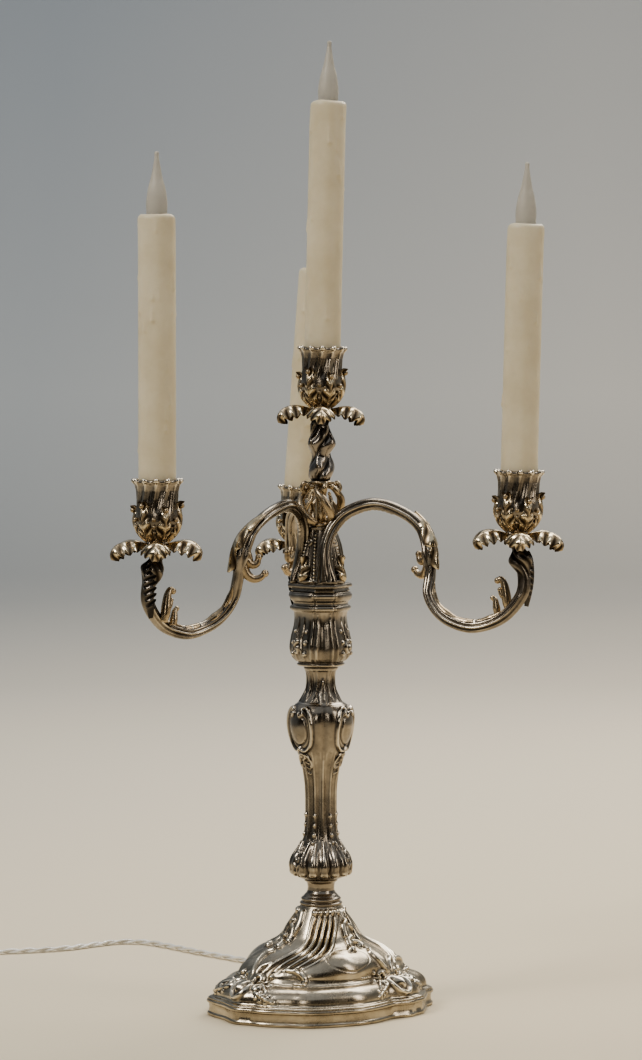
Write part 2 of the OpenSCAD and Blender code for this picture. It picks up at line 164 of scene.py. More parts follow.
def join_parts(parts):
    """Points, faces and recess values of several loose meshes as one."""
    verts, faces, shade = [], [], []
    start = 0
    for v, f, s in parts:
        verts.append(v)
        shade.append(s)
        faces += [[i + start for i in face] for face in f]
        start += len(v)
    return np.vstack(verts), faces, np.concatenate(shade)


class Relief:
    """Chased work on a turned surface: heights in mm over azimuth and a place along the outline.
    Angles count from the front; places are levels, or whatever column of the outline is named.
    Everything drawn is repeated evenly round the axis, and mirror also draws it at minus its angle."""

    def __init__(self, line, cols, repeats=1, place=1, front=FACE):
        self.level = arc_length(line)
        self.radius = line[:, 0]
        self.cols = cols
        self.repeats = repeats
        self.front = front
        self.angle = np.arange(cols) * 360.0 / cols
        self.up = np.zeros((len(line), cols))
        self.down = np.zeros((len(line), cols))
        order = np.argsort(line[:, place], kind="stable")
        self.places = line[order, place]
        self.place_levels = self.level[order]

    def along(self, place):
        return float(np.interp(place, self.places, self.place_levels))

    def scale(self, level):
        """Millimetres for one degree at a level."""
        return math.radians(float(np.interp(level, self.level, self.radius)))

    def copies(self, mirror):
        """The sign and the turn of each repeat."""
        for sign in ((1, -1) if mirror else (1,)):
            for k in range(self.repeats):
                yield sign, 360 * k / self.repeats

    def _stamp(self, angle, level, size, height, soft):
        reach = size * (2.2 if soft else 1.0)
        rows = np.nonzero(np.abs(self.level - level) < reach)[0]
        if not len(rows):
            return
        radius = self.radius[rows][:, None]
        half = int(min(self.cols // 2 - 1, math.degrees(reach / max(radius.min(), 1)) * self.cols / 360 + 1))
        centre = int(round(angle * self.cols / 360))
        cols = (centre + np.arange(-half, half + 1)) % self.cols
        turn = (self.angle[cols] - angle + 180) % 360 - 180
        d2 = ((np.radians(turn)[None, :] * radius) ** 2
              + (self.level[rows][:, None] - level) ** 2) / size ** 2
        shape = np.exp(-d2 * 1.4) if soft else np.sqrt(np.clip(1 - d2, 0, 1))
        spot = np.ix_(rows, cols)
        if height > 0:
            self.up[spot] = np.maximum(self.up[spot], height * shape)
        else:
            self.down[spot] = np.minimum(self.down[spot], height * shape)

    def stroke(self, points, width, height, mirror=False, soft=False, taper=True):
        """A rib (or a groove, with a negative height) through (azimuth, place) points.
        width may be one value or a list of values spread along the stroke."""
        path = np.array([(angle, self.along(place)) for angle, place in points])
        self.draw(path, width, height, mirror, soft, taper)

    def draw(self, path, width, height, mirror=False, soft=False, taper=True):
        """A stroke whose points are already (azimuth, arc length)."""
        width = np.atleast_1d(np.array(width, float))
        scale = self.scale(path[:, 1].mean())
        run = path * [scale, 1]
        count = max(4, int(np.linalg.norm(np.diff(run, axis=0), axis=1).sum() / (width.min() * 0.4)))
        run = smooth_curve(run, count) if len(run) > 2 else resample(run, count)
        for sign, turn in self.copies(mirror):
            for i, (x, z) in enumerate(run):
                t = i / (count - 1)
                size = np.interp(t, np.linspace(0, 1, len(width)), width)
                fade = math.sin(math.pi * min(max(t, 0.04), 0.96)) ** 0.5 if taper else 1
                angle = self.front + sign * x / scale + turn
                self._stamp(angle % 360, z, size, height * fade, soft)

    def bead(self, angle, place, size, height=None, mirror=False):
        self.dot(angle, self.along(place), size, size * 0.9 if height is None else height, mirror)

    def dot(self, angle, level, size, height, mirror=False, soft=False):
        for sign, turn in self.copies(mirror):
            self._stamp((self.front + sign * angle + turn) % 360, level, size, height, soft)

    def scroll(self, angle, place, size, turns, start, width, height, mirror=False):
        """A volute that winds inwards to a bead; start is its first direction in degrees."""
        level = self.along(place)
        scale = self.scale(level)
        t = np.linspace(0, 1, 14)
        way = np.radians(start + 360 * turns * t)
        reach = size * (1 - 0.8 * t)
        path = np.stack([angle + reach * np.cos(way) / scale, level + reach * np.sin(way)], axis=1)
        self.draw(path, [width, width * 0.7], height, mirror, taper=False)
        self.dot(path[-1, 0], path[-1, 1], width * 1.3, height * 1.25, mirror)

    def leaf(self, root, tip, width, lobes, height):
        """An acanthus leaf: a mid rib, and lobes that curl away from it on both sides."""
        levels = self.along(root[1]), self.along(tip[1])
        scale = self.scale(sum(levels) / 2)
        start = np.array([root[0] * scale, levels[0]])
        way = np.array([tip[0] * scale, levels[1]]) - start
        side = np.array([-way[1], way[0]]) / np.linalg.norm(way)

        def spot(t, off):
            return (start + way * t + side * off) / [scale, 1]

        rib = np.array([spot(t, 0) for t in (0, 0.35, 0.7, 1)])
        self.draw(rib, [width * 0.22, width * 0.12], height, taper=False)
        for i in range(lobes):
            t = 0.05 + 0.8 * i / lobes
            spread = width * (0.5 + 0.5 * math.sin(math.pi * (0.3 + 0.6 * i / lobes)))
            for out in (spread, -spread):
                lobe = np.array([spot(t, 0), spot(t + 0.14, out * 0.55), spot(t + 0.17, out)])
                self.draw(lobe, [width * 0.10, width * 0.17], height * 0.8, taper=False)
                self.dot(lobe[-1, 0], lobe[-1, 1], width * 0.2, height * 1.1)

    def ring(self, place, width, height):
        """A raised moulding all round."""
        shape = np.sqrt(np.clip(1 - ((self.level - self.along(place)) / width) ** 2, 0, 1))[:, None]
        self.up = np.maximum(self.up, height * shape)

    def heights(self):
        return blur(self.up + self.down, 1)


def turned_grid(outline, rows, cols, sharp_outline=False):
    """Rings of a turned surface from its (radius, level) outline, and the resampled outline."""
    line = resample(outline, rows) if sharp_outline else smooth_curve(outline, rows)
    angle = np.radians(np.arange(cols) * 360.0 / cols)
    radius = np.repeat(line[:, :1], cols, axis=1)
    grid = np.stack([radius * np.cos(angle), radius * np.sin(angle),
                     np.repeat(line[:, 1:], cols, axis=1)], axis=-1)
    return grid, line


def polygon_plan(angles, narrow, wide, roundness):
    """Relative radius of a six-sided plan: three narrow and three wide faces."""
    total = 0
    for k in range(THIRDS):
        for centre, reach in ((FACE + 120 * k, narrow), (FACE + 60 + 120 * k, wide)):
            lean = np.cos(np.radians(angles - centre))
            total = total + (np.clip(lean, 0, 1) / reach) ** roundness
    return total ** (-1 / roundness)


# ------------------------------------------------------------ camera

CAMERA_DISTANCE = 1.833
CAMERA_HEIGHT = 0.3588
CAMERA_PITCH = 2.0
LENS = 101.9

camera = bpy.data.objects.new("camera", bpy.data.cameras.new("camera"))
scene.collection.objects.link(camera)
camera.location = (0, -CAMERA_DISTANCE, CAMERA_HEIGHT)
camera.rotation_euler = (math.radians(90 - CAMERA_PITCH), 0, 0)
camera.data.lens = LENS
camera.data.clip_end = 50
scene.camera = camera


# ------------------------------------------------------------ materials

def new_material(name, slot):
    material = bpy.data.materials.new(name)
    material["slot"] = slot
    material.use_nodes = True
    return material, material.node_tree, material.node_tree.nodes["Principled BSDF"]


def add(tree, kind, **values):
    node = tree.nodes.new(kind)
    for key, value in values.items():
        if key in node.inputs:
            node.inputs[key].default_value = value
        else:
            setattr(node, key, value)
    return node


def noise(tree, scale, detail=4.0, rough=0.55):
    source = add(tree, "ShaderNodeTexCoord").outputs["Object"]
    node = add(tree, "ShaderNodeTexNoise", Scale=scale, Detail=detail, Roughness=rough)
    tree.links.new(source, node.inputs["Vector"])
    return node.outputs["Fac"]


def ramp(tree, source, stops):
    node = add(tree, "ShaderNodeValToRGB")
    marks = node.color_ramp.elements
    while len(marks) < len(stops):
        marks.new(0.5)
    for mark, (at, colour) in zip(marks, stops):
        mark.position = at
        mark.color = (*colour, 1)
    tree.links.new(source, node.inputs["Fac"])
    return node.outputs["Color"]


def grey(value):
    return (value, value, value)


def maths(tree, operation, a, b):
    node = add(tree, "ShaderNodeMath", operation=operation)
    for socket, value in zip(node.inputs, (a, b)):
        if isinstance(value, (int, float)):
            socket.default_value = value
        else:
            tree.links.new(value, socket)
    return node.outputs[0]


def mix(tree, factor, a, b, blend="MIX"):
    node = add(tree, "ShaderNodeMix", data_type="RGBA", blend_type=blend)
    for name, value in (("Factor", factor), ("A", a), ("B", b)):
        socket = [s for s in node.inputs if s.name == name and (name == "Factor") == (s.type == "VALUE")
                  and s.type in ("VALUE", "RGBA")][0]
        if isinstance(value, bpy.types.NodeSocket):
            tree.links.new(value, socket)
        elif isinstance(value, (int, float)):
            socket.default_value = value
        else:
            socket.default_value = (*value, 1)
    return [s for s in node.outputs if s.type == "RGBA"][0]


def bump(tree, shader, source, strength, depth):
    node = add(tree, "ShaderNodeBump", Strength=strength, Distance=depth)
    tree.links.new(source, node.inputs["Height"])
    tree.links.new(node.outputs["Normal"], shader.inputs["Normal"])


def tone(tree, shader, source, dark, light, top=0.65):
    """Base colour that drifts between two values."""
    tree.links.new(ramp(tree, source, [(0.35, dark), (top, light)]), shader.inputs["Base Color"])


def gloss(tree, shader, source, low, high):
    """Roughness that drifts between two values."""
    tree.links.new(ramp(tree, source, [(0.3, grey(low)), (0.7, grey(high))]), shader.inputs["Roughness"])


def silver_material(name, slot, bright, worn, tarnish_and_shade, rough, dirt):
    """Silver plate: bright where rubbed, warm in the field, brown-black in the hollows, where the dark is partly
    real tarnish and partly painted shade.
    """
    material, tree, shader = new_material(name, slot)
    shader.inputs["Metallic"].default_value = 1.0
    recess = add(tree, "ShaderNodeAttribute", attribute_name="recess").outputs["Fac"]
    cloud = noise(tree, 55, 5, 0.6)
    fine = noise(tree, 900, 3, 0.6)
    # hollows darken towards the dark colour: real tarnish, and painted shade where light would not reach
    hollow = maths(tree, "ADD", recess, maths(tree, "MULTIPLY", maths(tree, "SUBTRACT", cloud, 0.5), 0.55))
    depth = maths(tree, "ADD", hollow, dirt)
    body = ramp(tree, depth, [(0.30, bright), (0.52, worn), (0.80, tarnish_and_shade)])
    spots = ramp(tree, noise(tree, 240, 4, 0.7), [(0.60, grey(0)), (0.74, grey(1))])
    colour = mix(tree, maths(tree, "MULTIPLY", spots, 0.35), body, tarnish_and_shade)
    tree.links.new(colour, shader.inputs["Base Color"])
    sheen = ramp(tree, depth, [(0.30, grey(rough)), (0.55, grey(rough + 0.08)), (0.85, grey(rough + 0.34))])
    smear = maths(tree, "MULTIPLY", maths(tree, "SUBTRACT", fine, 0.5), 0.16)
    tree.links.new(maths(tree, "ADD", sheen, smear), shader.inputs["Roughness"])
    marks = maths(tree, "ADD", maths(tree, "MULTIPLY", noise(tree, 420, 4, 0.6), 0.7),
                  maths(tree, "MULTIPLY", noise(tree, 2600, 2, 0.5), 0.3))
    bump(tree, shader, marks, 0.35, 0.00022)
    return material


silver = silver_material("silver_plate", "silvered_metal", (0.78, 0.71, 0.58), (0.50, 0.43, 0.325),
                         (0.060, 0.043, 0.027), 0.15, 0.03)
stem_silver = silver_material("stem_silver", "silvered_metal", (0.74, 0.665, 0.54), (0.32, 0.277, 0.222),
                              (0.030, 0.023, 0.017), 0.14, 0.06)
gilt = silver_material("gilt_silver", "gilt_silver", (0.82, 0.70, 0.49), (0.46, 0.365, 0.245),
                       (0.050, 0.035, 0.020), 0.20, 0.03)
dark_silver = silver_material("tarnished_silver", "dark_silver", (0.30, 0.265, 0.225), (0.080, 0.070, 0.060),
                              (0.015, 0.013, 0.011), 0.20, 0.08)


def wax_material():
    """Ivory wax-look resin, a little translucent, with a soft uneven surface."""
    material, tree, shader = new_material("wax_sleeve", "wax_sleeve")
    field = ramp(tree, noise(tree, 38, 4, 0.6), [(0.35, (0.66, 0.57, 0.39)), (0.65, (0.74, 0.66, 0.48))])
    specks = ramp(tree, noise(tree, 700, 3, 0.6), [(0.62, grey(0)), (0.72, grey(1))])
    colour = mix(tree, maths(tree, "MULTIPLY", specks, 0.12), field, (0.50, 0.42, 0.27))
    tree.links.new(colour, shader.inputs["Base Color"])
    gloss(tree, shader, noise(tree, 160, 3), 0.34, 0.50)
    shader.inputs["Subsurface Weight"].default_value = 0.12
    shader.inputs["Subsurface Radius"].default_value = (0.003, 0.002, 0.001)
    shader.inputs["Subsurface Scale"].default_value = 0.5
    shader.inputs["Specular IOR Level"].default_value = 0.45
    bump(tree, shader, noise(tree, 300, 3), 0.25, 0.0003)
    return material


def glass_material():
    """Frosted bulb glass, seen unlit: milky grey with a satin skin."""
    material, tree, shader = new_material("frosted_glass", "bulb_glass")
    tone(tree, shader, noise(tree, 120, 3), (0.66, 0.62, 0.54), (0.75, 0.71, 0.62), top=0.7)
    gloss(tree, shader, noise(tree, 500, 2), 0.32, 0.44)
    shader.inputs["Transmission Weight"].default_value = 0.45
    shader.inputs["IOR"].default_value = 1.3
    bump(tree, shader, noise(tree, 1800, 2), 0.2, 0.0001)
    return material


PLAIN_SCALE = 90       # size of the drift in a plain material's colour, in noise cells per metre


def plain_material(name, slot, dark, light, rough, metallic=0.0, depth=0.0001, fine=900):
    """A material with two close tones, uneven gloss and a fine grain."""
    material, tree, shader = new_material(name, slot)
    shader.inputs["Metallic"].default_value = metallic
    tone(tree, shader, noise(tree, PLAIN_SCALE), dark, light)
    gloss(tree, shader, noise(tree, PLAIN_SCALE * 3), rough, rough + 0.14)
    bump(tree, shader, noise(tree, fine, 3), 0.3, depth)
    return material


wax = wax_material()
glass = glass_material()
fittings = plain_material("fittings_brass", "fittings_brass", (0.44, 0.31, 0.13), (0.68, 0.52, 0.26), 0.28,
                          metallic=1.0)
holder_white = plain_material("holder_moulding", "holder_ceramic", (0.74, 0.71, 0.64), (0.84, 0.81, 0.75),
                              0.45)
lead_cover = plain_material("lead_cover", "lead_pvc", (0.70, 0.67, 0.60), (0.80, 0.77, 0.70), 0.35)
rubber = plain_material("relief_rubber", "relief_rubber", (0.66, 0.64, 0.57), (0.76, 0.74, 0.67), 0.5)
plug_white = plain_material("plug_plastic", "plug_plastic", (0.76, 0.75, 0.70), (0.83, 0.82, 0.77), 0.3)
nickel = plain_material("pin_nickel", "pin_metal", (0.55, 0.55, 0.57), (0.72, 0.72, 0.74), 0.2, metallic=1.0)
tie_black = plain_material("tie_loops", "tie_plastic", (0.015, 0.015, 0.017), (0.04, 0.04, 0.045), 0.7,
                           fine=3000, depth=0.0003)
felt = plain_material("green_felt", "felt", (0.010, 0.030, 0.018), (0.025, 0.060, 0.036), 0.9, fine=2600,
                      depth=0.0005)


def cord_material():
    """Clear insulation over pale stranded wire."""
    material, tree, shader = new_material("clear_cord", "cord_pvc")
    tone(tree, shader, noise(tree, 130, 4), (0.66, 0.62, 0.54), (0.86, 0.84, 0.78), top=0.66)
    gloss(tree, shader, noise(tree, 400, 2), 0.16, 0.30)
    shader.inputs["Transmission Weight"].default_value = 0.15
    shader.inputs["Coat Weight"].default_value = 0.5
    bump(tree, shader, noise(tree, 1500, 2), 0.2, 0.0001)
    return material


cord_clear = cord_material()
SLOT_MATERIALS = {
    "silvered_metal": silver, "dark_silver": dark_silver, "gilt_silver": gilt, "fittings_brass": fittings,
    "wax_sleeve": wax, "holder_ceramic": holder_white, "bulb_glass": glass, "cord_pvc": cord_clear,
    "lead_pvc": lead_cover, "relief_rubber": rubber, "plug_plastic": plug_white, "pin_metal": nickel,
    "tie_plastic": tie_black, "felt": felt,
}
NODE_SLOTS = {row["node"]: row["material_slot"] for row in frame["record"]["subparts"]}
for node_name, node_object in frame["nodes"].items():
    node_object.data.materials.clear()
    node_object.data.materials.append(SLOT_MATERIALS[NODE_SLOTS[node_name]])


# ------------------------------------------------------------ mains cord

CORD_D = 3.8
CORD_Z = 2.0
EXIT_AZ = 100.0
bushing_low, bushing_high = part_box("cord_bushing")
EXIT_Z = (bushing_low.z + bushing_high.z) / 2 / MM
CORD_ROUTE = [
    (-17, 97, 4.6), (-22, 113, 2.4), (-35, 138, CORD_Z), (-51, 158, CORD_Z), (-67, 174, CORD_Z),
    (-84, 191, CORD_Z), (-103, 212, CORD_Z), (-121, 228, CORD_Z), (-139, 230, CORD_Z),
    (-156, 219, CORD_Z), (-172, 206, CORD_Z), (-194, 197, CORD_Z), (-217, 191, CORD_Z),
    (-231, 187.6, 2.4), (-243, 184.6, 2.8),
]
TAIL_ROUTE = [(-285, 158, 6.7), (-285.4, 148, 6.8), (-285.2, 138, 7), (-285, 128, 7)]
COIL_AT = (-258, 160)
COIL_COLUMNS = (27.0, 23.2, 19.4, 15.6)
COIL_LAYERS = (2.9, 6.7, 10.5)
# Column and layer of each turn in the coil: inwards along the bottom, then back out over it
COIL_CELLS = ((0, 0), (1, 0), (2, 0), (3, 0), (3, 1), (3, 2), (2, 2), (2, 1), (1, 1), (1, 2), (0, 2), (0, 1))
COIL_START = 90
COIL_TRAVEL = 360 * 11 + 90        # degrees wound in all
CELL_TRAVEL = 345                  # degrees from one cell to the next
SHIFT_TRAVEL = 75                  # degrees in which the cord moves over to the next cell
STRAND_D = CORD_D / 2
TWIST_PITCH = 24.5
CORD_STEP = 1.6


def smoothstep(t):
    t = np.clip(t, 0, 1)
    return t * t * (3 - 2 * t)


def coil_points():
    travel = np.arange(6, COIL_TRAVEL - 5, 12.0)
    column = np.full(len(travel), COIL_COLUMNS[0])
    layer = np.full(len(travel), COIL_LAYERS[0])
    for k, (before, after) in enumerate(zip(COIL_CELLS, COIL_CELLS[1:])):
        share = smoothstep((travel - CELL_TRAVEL * (k + 1) + SHIFT_TRAVEL) / SHIFT_TRAVEL)
        column += share * (COIL_COLUMNS[after[0]] - COIL_COLUMNS[before[0]])
        layer += share * (COIL_LAYERS[after[1]] - COIL_LAYERS[before[1]])
    turn = np.radians(COIL_START + travel)
    return np.stack([COIL_AT[0] + column * np.cos(turn), COIL_AT[1] + column * np.sin(turn), layer], axis=1)


def tube(path, radius, sides, reference=(0, 0, 1)):
    """Rings round a path that stays away from the reference direction."""
    tangent = unit_rows(np.gradient(path, axis=0))
    side = unit_rows(np.cross(tangent, reference))
    over = np.cross(side, tangent)
    around = np.linspace(0, 2 * math.pi, sides, endpoint=False)
    radius = np.broadcast_to(radius, (len(path),))[:, None, None]
    return (path[:, None, :] + radius * (np.cos(around)[None, :, None] * side[:, None, :]
                                         + np.sin(around)[None, :, None] * over[:, None, :]))


def twisted_strands(path):
    """The two strands' centre lines, twisted round the path."""
    turn = 2 * math.pi * arc_length(path) / TWIST_PITCH
    tangent = unit_rows(np.gradient(path, axis=0))
    side = unit_rows(np.cross(tangent, [0, 0, 1]))
    over = np.cross(side, tangent)
    for phase in (0, math.pi):
        across = np.cos(turn + phase)[:, None] * side + np.sin(turn + phase)[:, None] * over
        yield path + STRAND_D / 2 * across


EXIT_WAY = np.array([math.cos(math.radians(EXIT_AZ)), math.sin(math.radians(EXIT_AZ))])
EXIT_R = bushing_high.y / MM / EXIT_WAY[1]
cord_exit = [*(EXIT_R * EXIT_WAY), EXIT_Z]
rough_path = smooth_curve(np.vstack([[cord_exit], CORD_ROUTE, coil_points(), TAIL_ROUTE]), 1200)
cord_path = resample(rough_path, int(arc_length(rough_path)[-1] / CORD_STEP))
strands = join_parts([closed_grid(tube(s, STRAND_D / 2, 8)) for s in twisted_strands(cord_path)])
cord = mesh_piece("mains_cord", strands, ROOT_BODY, cord_clear, nodes=("cord_tube", "cord_coil"))


# ------------------------------------------------------------ room and lights

ROOM_R = 8.4
ROOM_H = 5.0
COVE_R = 3.0


def room():
    """Pale floor that coves up into a plain wall all round, coloured with painted light and shade: a warm painted
    pool of light round the middle, a painted brighter right side, and painted shade on the side towards the
    camera, so it is dimmer behind the camera.
    """
    cove = [(ROOM_R - COVE_R + COVE_R * math.sin(t), COVE_R - COVE_R * math.cos(t))
            for t in np.linspace(0, math.pi / 2, 12)]
    outline = [(0.001, 0), (1.2, 0), (2.6, 0), (4.0, 0), *cove, (ROOM_R, ROOM_H)]
    sides = 96
    angle = np.linspace(0, 2 * math.pi, sides, endpoint=False)
    grid = np.array([[(r * math.cos(a), r * math.sin(a), z) for a in angle] for r, z in outline])
    mesh = bpy.data.meshes.new("room")
    faces = [face[::-1] for face in grid_faces(len(outline), sides)]
    mesh.from_pydata(grid.reshape(-1, 3).tolist(), [], faces)
    mesh.polygons.foreach_set("use_smooth", [True] * len(mesh.polygons))
    walls = bpy.data.objects.new("room", mesh)
    scene.collection.objects.link(walls)
    material, tree, shader = new_material("room_painted_light_and_shade", "")
    place = add(tree, "ShaderNodeSeparateXYZ")
    spot = add(tree, "ShaderNodeTexCoord").outputs["Object"]
    tree.links.new(spot, place.inputs[0])
    flat = add(tree, "ShaderNodeVectorMath", operation="MULTIPLY")
    flat.inputs[1].default_value = (1, 1, 0)
    tree.links.new(spot, flat.inputs[0])
    reach = add(tree, "ShaderNodeVectorMath", operation="LENGTH")
    tree.links.new(flat.outputs[0], reach.inputs[0])
    out_and_up = maths(tree, "ADD", maths(tree, "DIVIDE", reach.outputs["Value"], 2 * ROOM_R),
                       maths(tree, "DIVIDE", place.outputs["Z"], 2 * ROOM_H))
    # painted light and shade: a warm pool of light on the floor round the middle, darker further out, a lighter
    # band up the wall, dimmer and bluer at the top
    painted_light_and_shade = ramp(tree, out_and_up, [(0.0, (0.78, 0.69, 0.52)), (0.06, (0.64, 0.58, 0.47)),
                                    (0.14, (0.52, 0.485, 0.42)), (0.26, (0.52, 0.505, 0.465)),
                                    (0.46, (0.71, 0.70, 0.66)), (0.76, (0.50, 0.535, 0.57))])
    # painted shade on the side towards the camera, so the silver reflects a dark room there
    front = ramp(tree, maths(tree, "ADD", maths(tree, "DIVIDE", place.outputs["Y"], 2 * ROOM_R), 0.5),
                 [(0.36, (0.10, 0.075, 0.055)), (0.47, grey(1))])
    # painted light: the room grows brighter and warmer to the right
    right = ramp(tree, maths(tree, "ADD", maths(tree, "DIVIDE", place.outputs["X"], ROOM_R), 0.5),
                 [(0.40, (0.82, 0.84, 0.86)), (0.60, (1.14, 1.08, 1.00))])
    painted_light_and_shade = mix(tree, 1.0, mix(tree, 1.0, painted_light_and_shade, right, "MULTIPLY"), front, "MULTIPLY")
    tree.links.new(painted_light_and_shade, shader.inputs["Base Color"])
    shader.inputs["Roughness"].default_value = 0.85
    shader.inputs["Specular IOR Level"].default_value = 0.2
    mesh.materials.append(material)


def area_light(name, at, target, size, power, colour):
    data = bpy.data.lights.new(name, "AREA")
    data.shape = "RECTANGLE"
    data.size, data.size_y = size
    data.energy = power
    data.color = colour
    light = bpy.data.objects.new(name, data)
    light.location = at
    light.rotation_euler = (Vector(target) - Vector(at)).to_track_quat("-Z", "Y").to_euler()
    scene.collection.objects.link(light)


def world_light(colour, strength):
    world = bpy.data.worlds.new("sky")
    world.use_nodes = True
    back = world.node_tree.nodes["Background"]
    back.inputs["Color"].default_value = (*colour, 1)
    back.inputs["Strength"].default_value = strength
    scene.world = world


room()
MIDDLE = (0, 0, 0.30)
area_light("key", (-1.5, -1.1, 1.9), MIDDLE, (0.7, 0.9), 26, (1.0, 0.96, 0.90))
area_light("fill", (1.7, -0.9, 1.0), MIDDLE, (0.5, 1.2), 7, (1.0, 0.93, 0.84))
area_light("glint", (-0.5, -2.4, 0.8), MIDDLE, (0.35, 0.5), 3, (1.0, 0.95, 0.88))
area_light("back", (0.9, 1.5, 1.6), MIDDLE, (1.2, 0.8), 12, (1.0, 0.95, 0.86))
area_light("overhead", (0.9, 1.4, 3.2), (0.5, 4.6, 0), (3.0, 3.0), 115, (1.0, 0.97, 0.93))
world_light((0.86, 0.92, 1.0), 0.45)
scene.view_settings.view_transform = "AgX"
scene.view_settings.look = "AgX - Medium High Contrast"
scene.view_settings.exposure = 0.0


# ------------------------------------------------------------ foot

# The foot's contoured plan: azimuth and radius, repeated half a turn on
PLAN = np.array([[-166, 71], [-150, 68], [-138, 70], [-128, 66], [-105, 61], [-70, 56],
                 [-36, 53], [-20, 61], [-11, 64], [4, 65], [14, 71]], float)
PLAN_MEAN = 66


def plan_radius(azimuth):
    folded = (azimuth + 166) % 180 - 166
    i = np.clip(np.searchsorted(PLAN[:, 0], folded, side="right") - 1, 0, len(PLAN) - 2)
    share = smoothstep((folded - PLAN[i, 0]) / (PLAN[i + 1, 0] - PLAN[i, 0]))
    return PLAN[i, 1] + (PLAN[i + 1, 1] - PLAN[i, 1]) * share


def foot_border():
    """Plain skirt with a small bead at its foot and a larger one at its upper edge."""
    profile = [(-3.4, 0.0), (-0.7, 0.0), (0.1, 0.4), (0.4, 1.3), (0.1, 2.2), (-0.6, 2.8), (-0.9, 5.0),
               (-0.7, 7.2), (-0.1, 7.8), (0.5, 8.2), (0.7, 9.0), (0.4, 9.8), (-0.4, 10.4), (-1.2, 10.5),
               (-3.4, 10.5)]
    azimuth = np.arange(540) * 360 / 540
    radius = plan_radius(azimuth)
    way = np.radians(azimuth)
    grid = np.array([np.stack([(radius + off) * np.cos(way), (radius + off) * np.sin(way),
                               np.full(len(way), z)], axis=1) for off, z in profile])
    mesh_piece("foot_skirt", closed_grid(grid, loop=True), ROOT_BODY, silver, sharp=40,
               nodes=("foot_border",))


FOOT_OUTLINE = [(66.0, 10.5), (65.2, 11.4), (63.2, 12.0), (62.6, 13.0), (62.4, 14.4), (61.6, 16.8),
                (59.8, 19.0), (57, 20.9), (53.6, 22.0), (51.4, 22.4), (51.0, 23.1), (50.0, 23.6),
                (49.4, 24.6), (48.6, 26.0), (48.0, 28.0), (46.2, 31.0), (43, 34.3), (36.5, 38.4),
                (28, 42.2), (23, 46.2), (20, 51.5), (17, 56.8), (14.6, 60.8), (13.4, 63.2), (12.6, 65)]
# Spiral ribs: angle from the front face and outline radius along the first and the last of them
FIRST_RIB = np.array([(-22, 14.2), (-25, 17), (-27, 22), (-31, 29), (-38, 36), (-46, 42), (-52, 47.5)],
                     float)
LAST_RIB = np.array([(34, 14.2), (26, 16.5), (14, 21.4), (7, 27), (0, 34), (-9, 39.5), (-22, 45)], float)
RIBS = 5


def foot_relief(line, cols):
    work = Relief(line, cols, THIRDS, place=0)
    for i in range(RIBS):
        rib = FIRST_RIB + (LAST_RIB - FIRST_RIB) * i / (RIBS - 1)
        work.stroke(rib, [1.7, 1.4, 1.6, 1.8, 1.1], 2.2)
        work.dot(rib[0, 0], work.along(rib[0, 1]), 2.1, 1.9)
        if i:
            work.stroke(rib - (LAST_RIB - FIRST_RIB) / (2 * RIBS - 2), [1.3, 2.0, 3.0], -1.6, soft=True)
    # leaf drops beside the ribs, each with a ball at its tip
    work.stroke([(50, 14.6), (48, 19), (41, 25), (33, 30)], [2.2, 2.1, 1.9, 1.6], 1.3, taper=False)
    for angle, radius, way in ((48, 17.5, -10), (45, 22.5, -9), (50, 19, 9), (43, 25, 8)):
        work.stroke([(angle, radius), (angle + way, radius + 1.2), (angle + way * 1.2, radius + 4.2)],
                    [1.7, 2.5], 2.4, taper=False)
    work.bead(31, 31.5, 3.1, 3.0)
    work.stroke([(62, 14.6), (66, 18), (62, 23)], [2.4, 2.6, 1.8], 2.0, taper=False)
    work.bead(61, 24.5, 2.4, 2.3)
    work.scroll(57, 15.5, 2.6, 0.8, 90, 0.9, 1.5)
    # scrolled end of the ribs
    work.stroke([(-34, 46), (-26, 46.4), (-20, 48.4), (-21, 51), (-26, 51)], [1.0, 1.7, 1.7, 1.4], 1.5,
                taper=False)
    # smooth oval panel outlined by an engraved line
    oval = [(22 + 24 * math.cos(t), 38.5 + 8.5 * math.sin(t)) for t in np.linspace(0, 2 * math.pi, 17)]
    work.stroke(oval, 0.5, -0.3, taper=False)
    work.dot(12, work.along(38), 11, 1.4, soft=True)
    # shell in scrolls over the moulding, once in each third
    work.bead(60, 56.5, 4.2, 1.9)
    for lobe in (-34, -17, 0, 17, 34):
        way = math.radians(lobe)
        tip = (60 + 6.0 * math.sin(way) / work.scale(0), 56.5 - 5.2 * math.cos(way))
        work.stroke([(60, 60.5), tip], [0.5, 1.0], 2.6, taper=False)
        work.bead(*tip, 1.1, 2.6)
    for side in (-1, 1):
        frame_curve = [(60 + side * a, r) for a, r in ((1, 62.3), (4.6, 61.4), (6.4, 58), (6.0, 54),
                                                       (3.6, 51), (5.4, 48.4), (8.6, 48.6), (9.0, 51))]
        work.stroke(frame_curve, [1.5, 1.9, 1.5], 2.0, taper=False)
        work.scroll(60 + side * 12, 57, 3.4, 0.7, 90 if side > 0 else -90, 1.4, 1.7)
        work.leaf((60 + side * 9, 50.5), (60 + side * 19, 59), 4.4, 2, 2.0)
        work.leaf((60 + side * 12, 60), (60 + side * 24, 62.4), 2.8, 3, 1.8)
        work.bead(60 + side * 15, 48.4, 1.7, 1.8)
    work.stroke([(60, 51), (57, 47), (53, 42), (52, 37), (56, 34)], [2.2, 1.9, 1.2], 1.9, taper=False)
    work.stroke([(62, 50), (64, 46), (70, 43.5)], [1.8, 1.3], 1.7, taper=False)
    for i in range(5):
        work.bead(41 - 2.6 * i, 49.2, 0.9, 1.0)
    return work.heights()


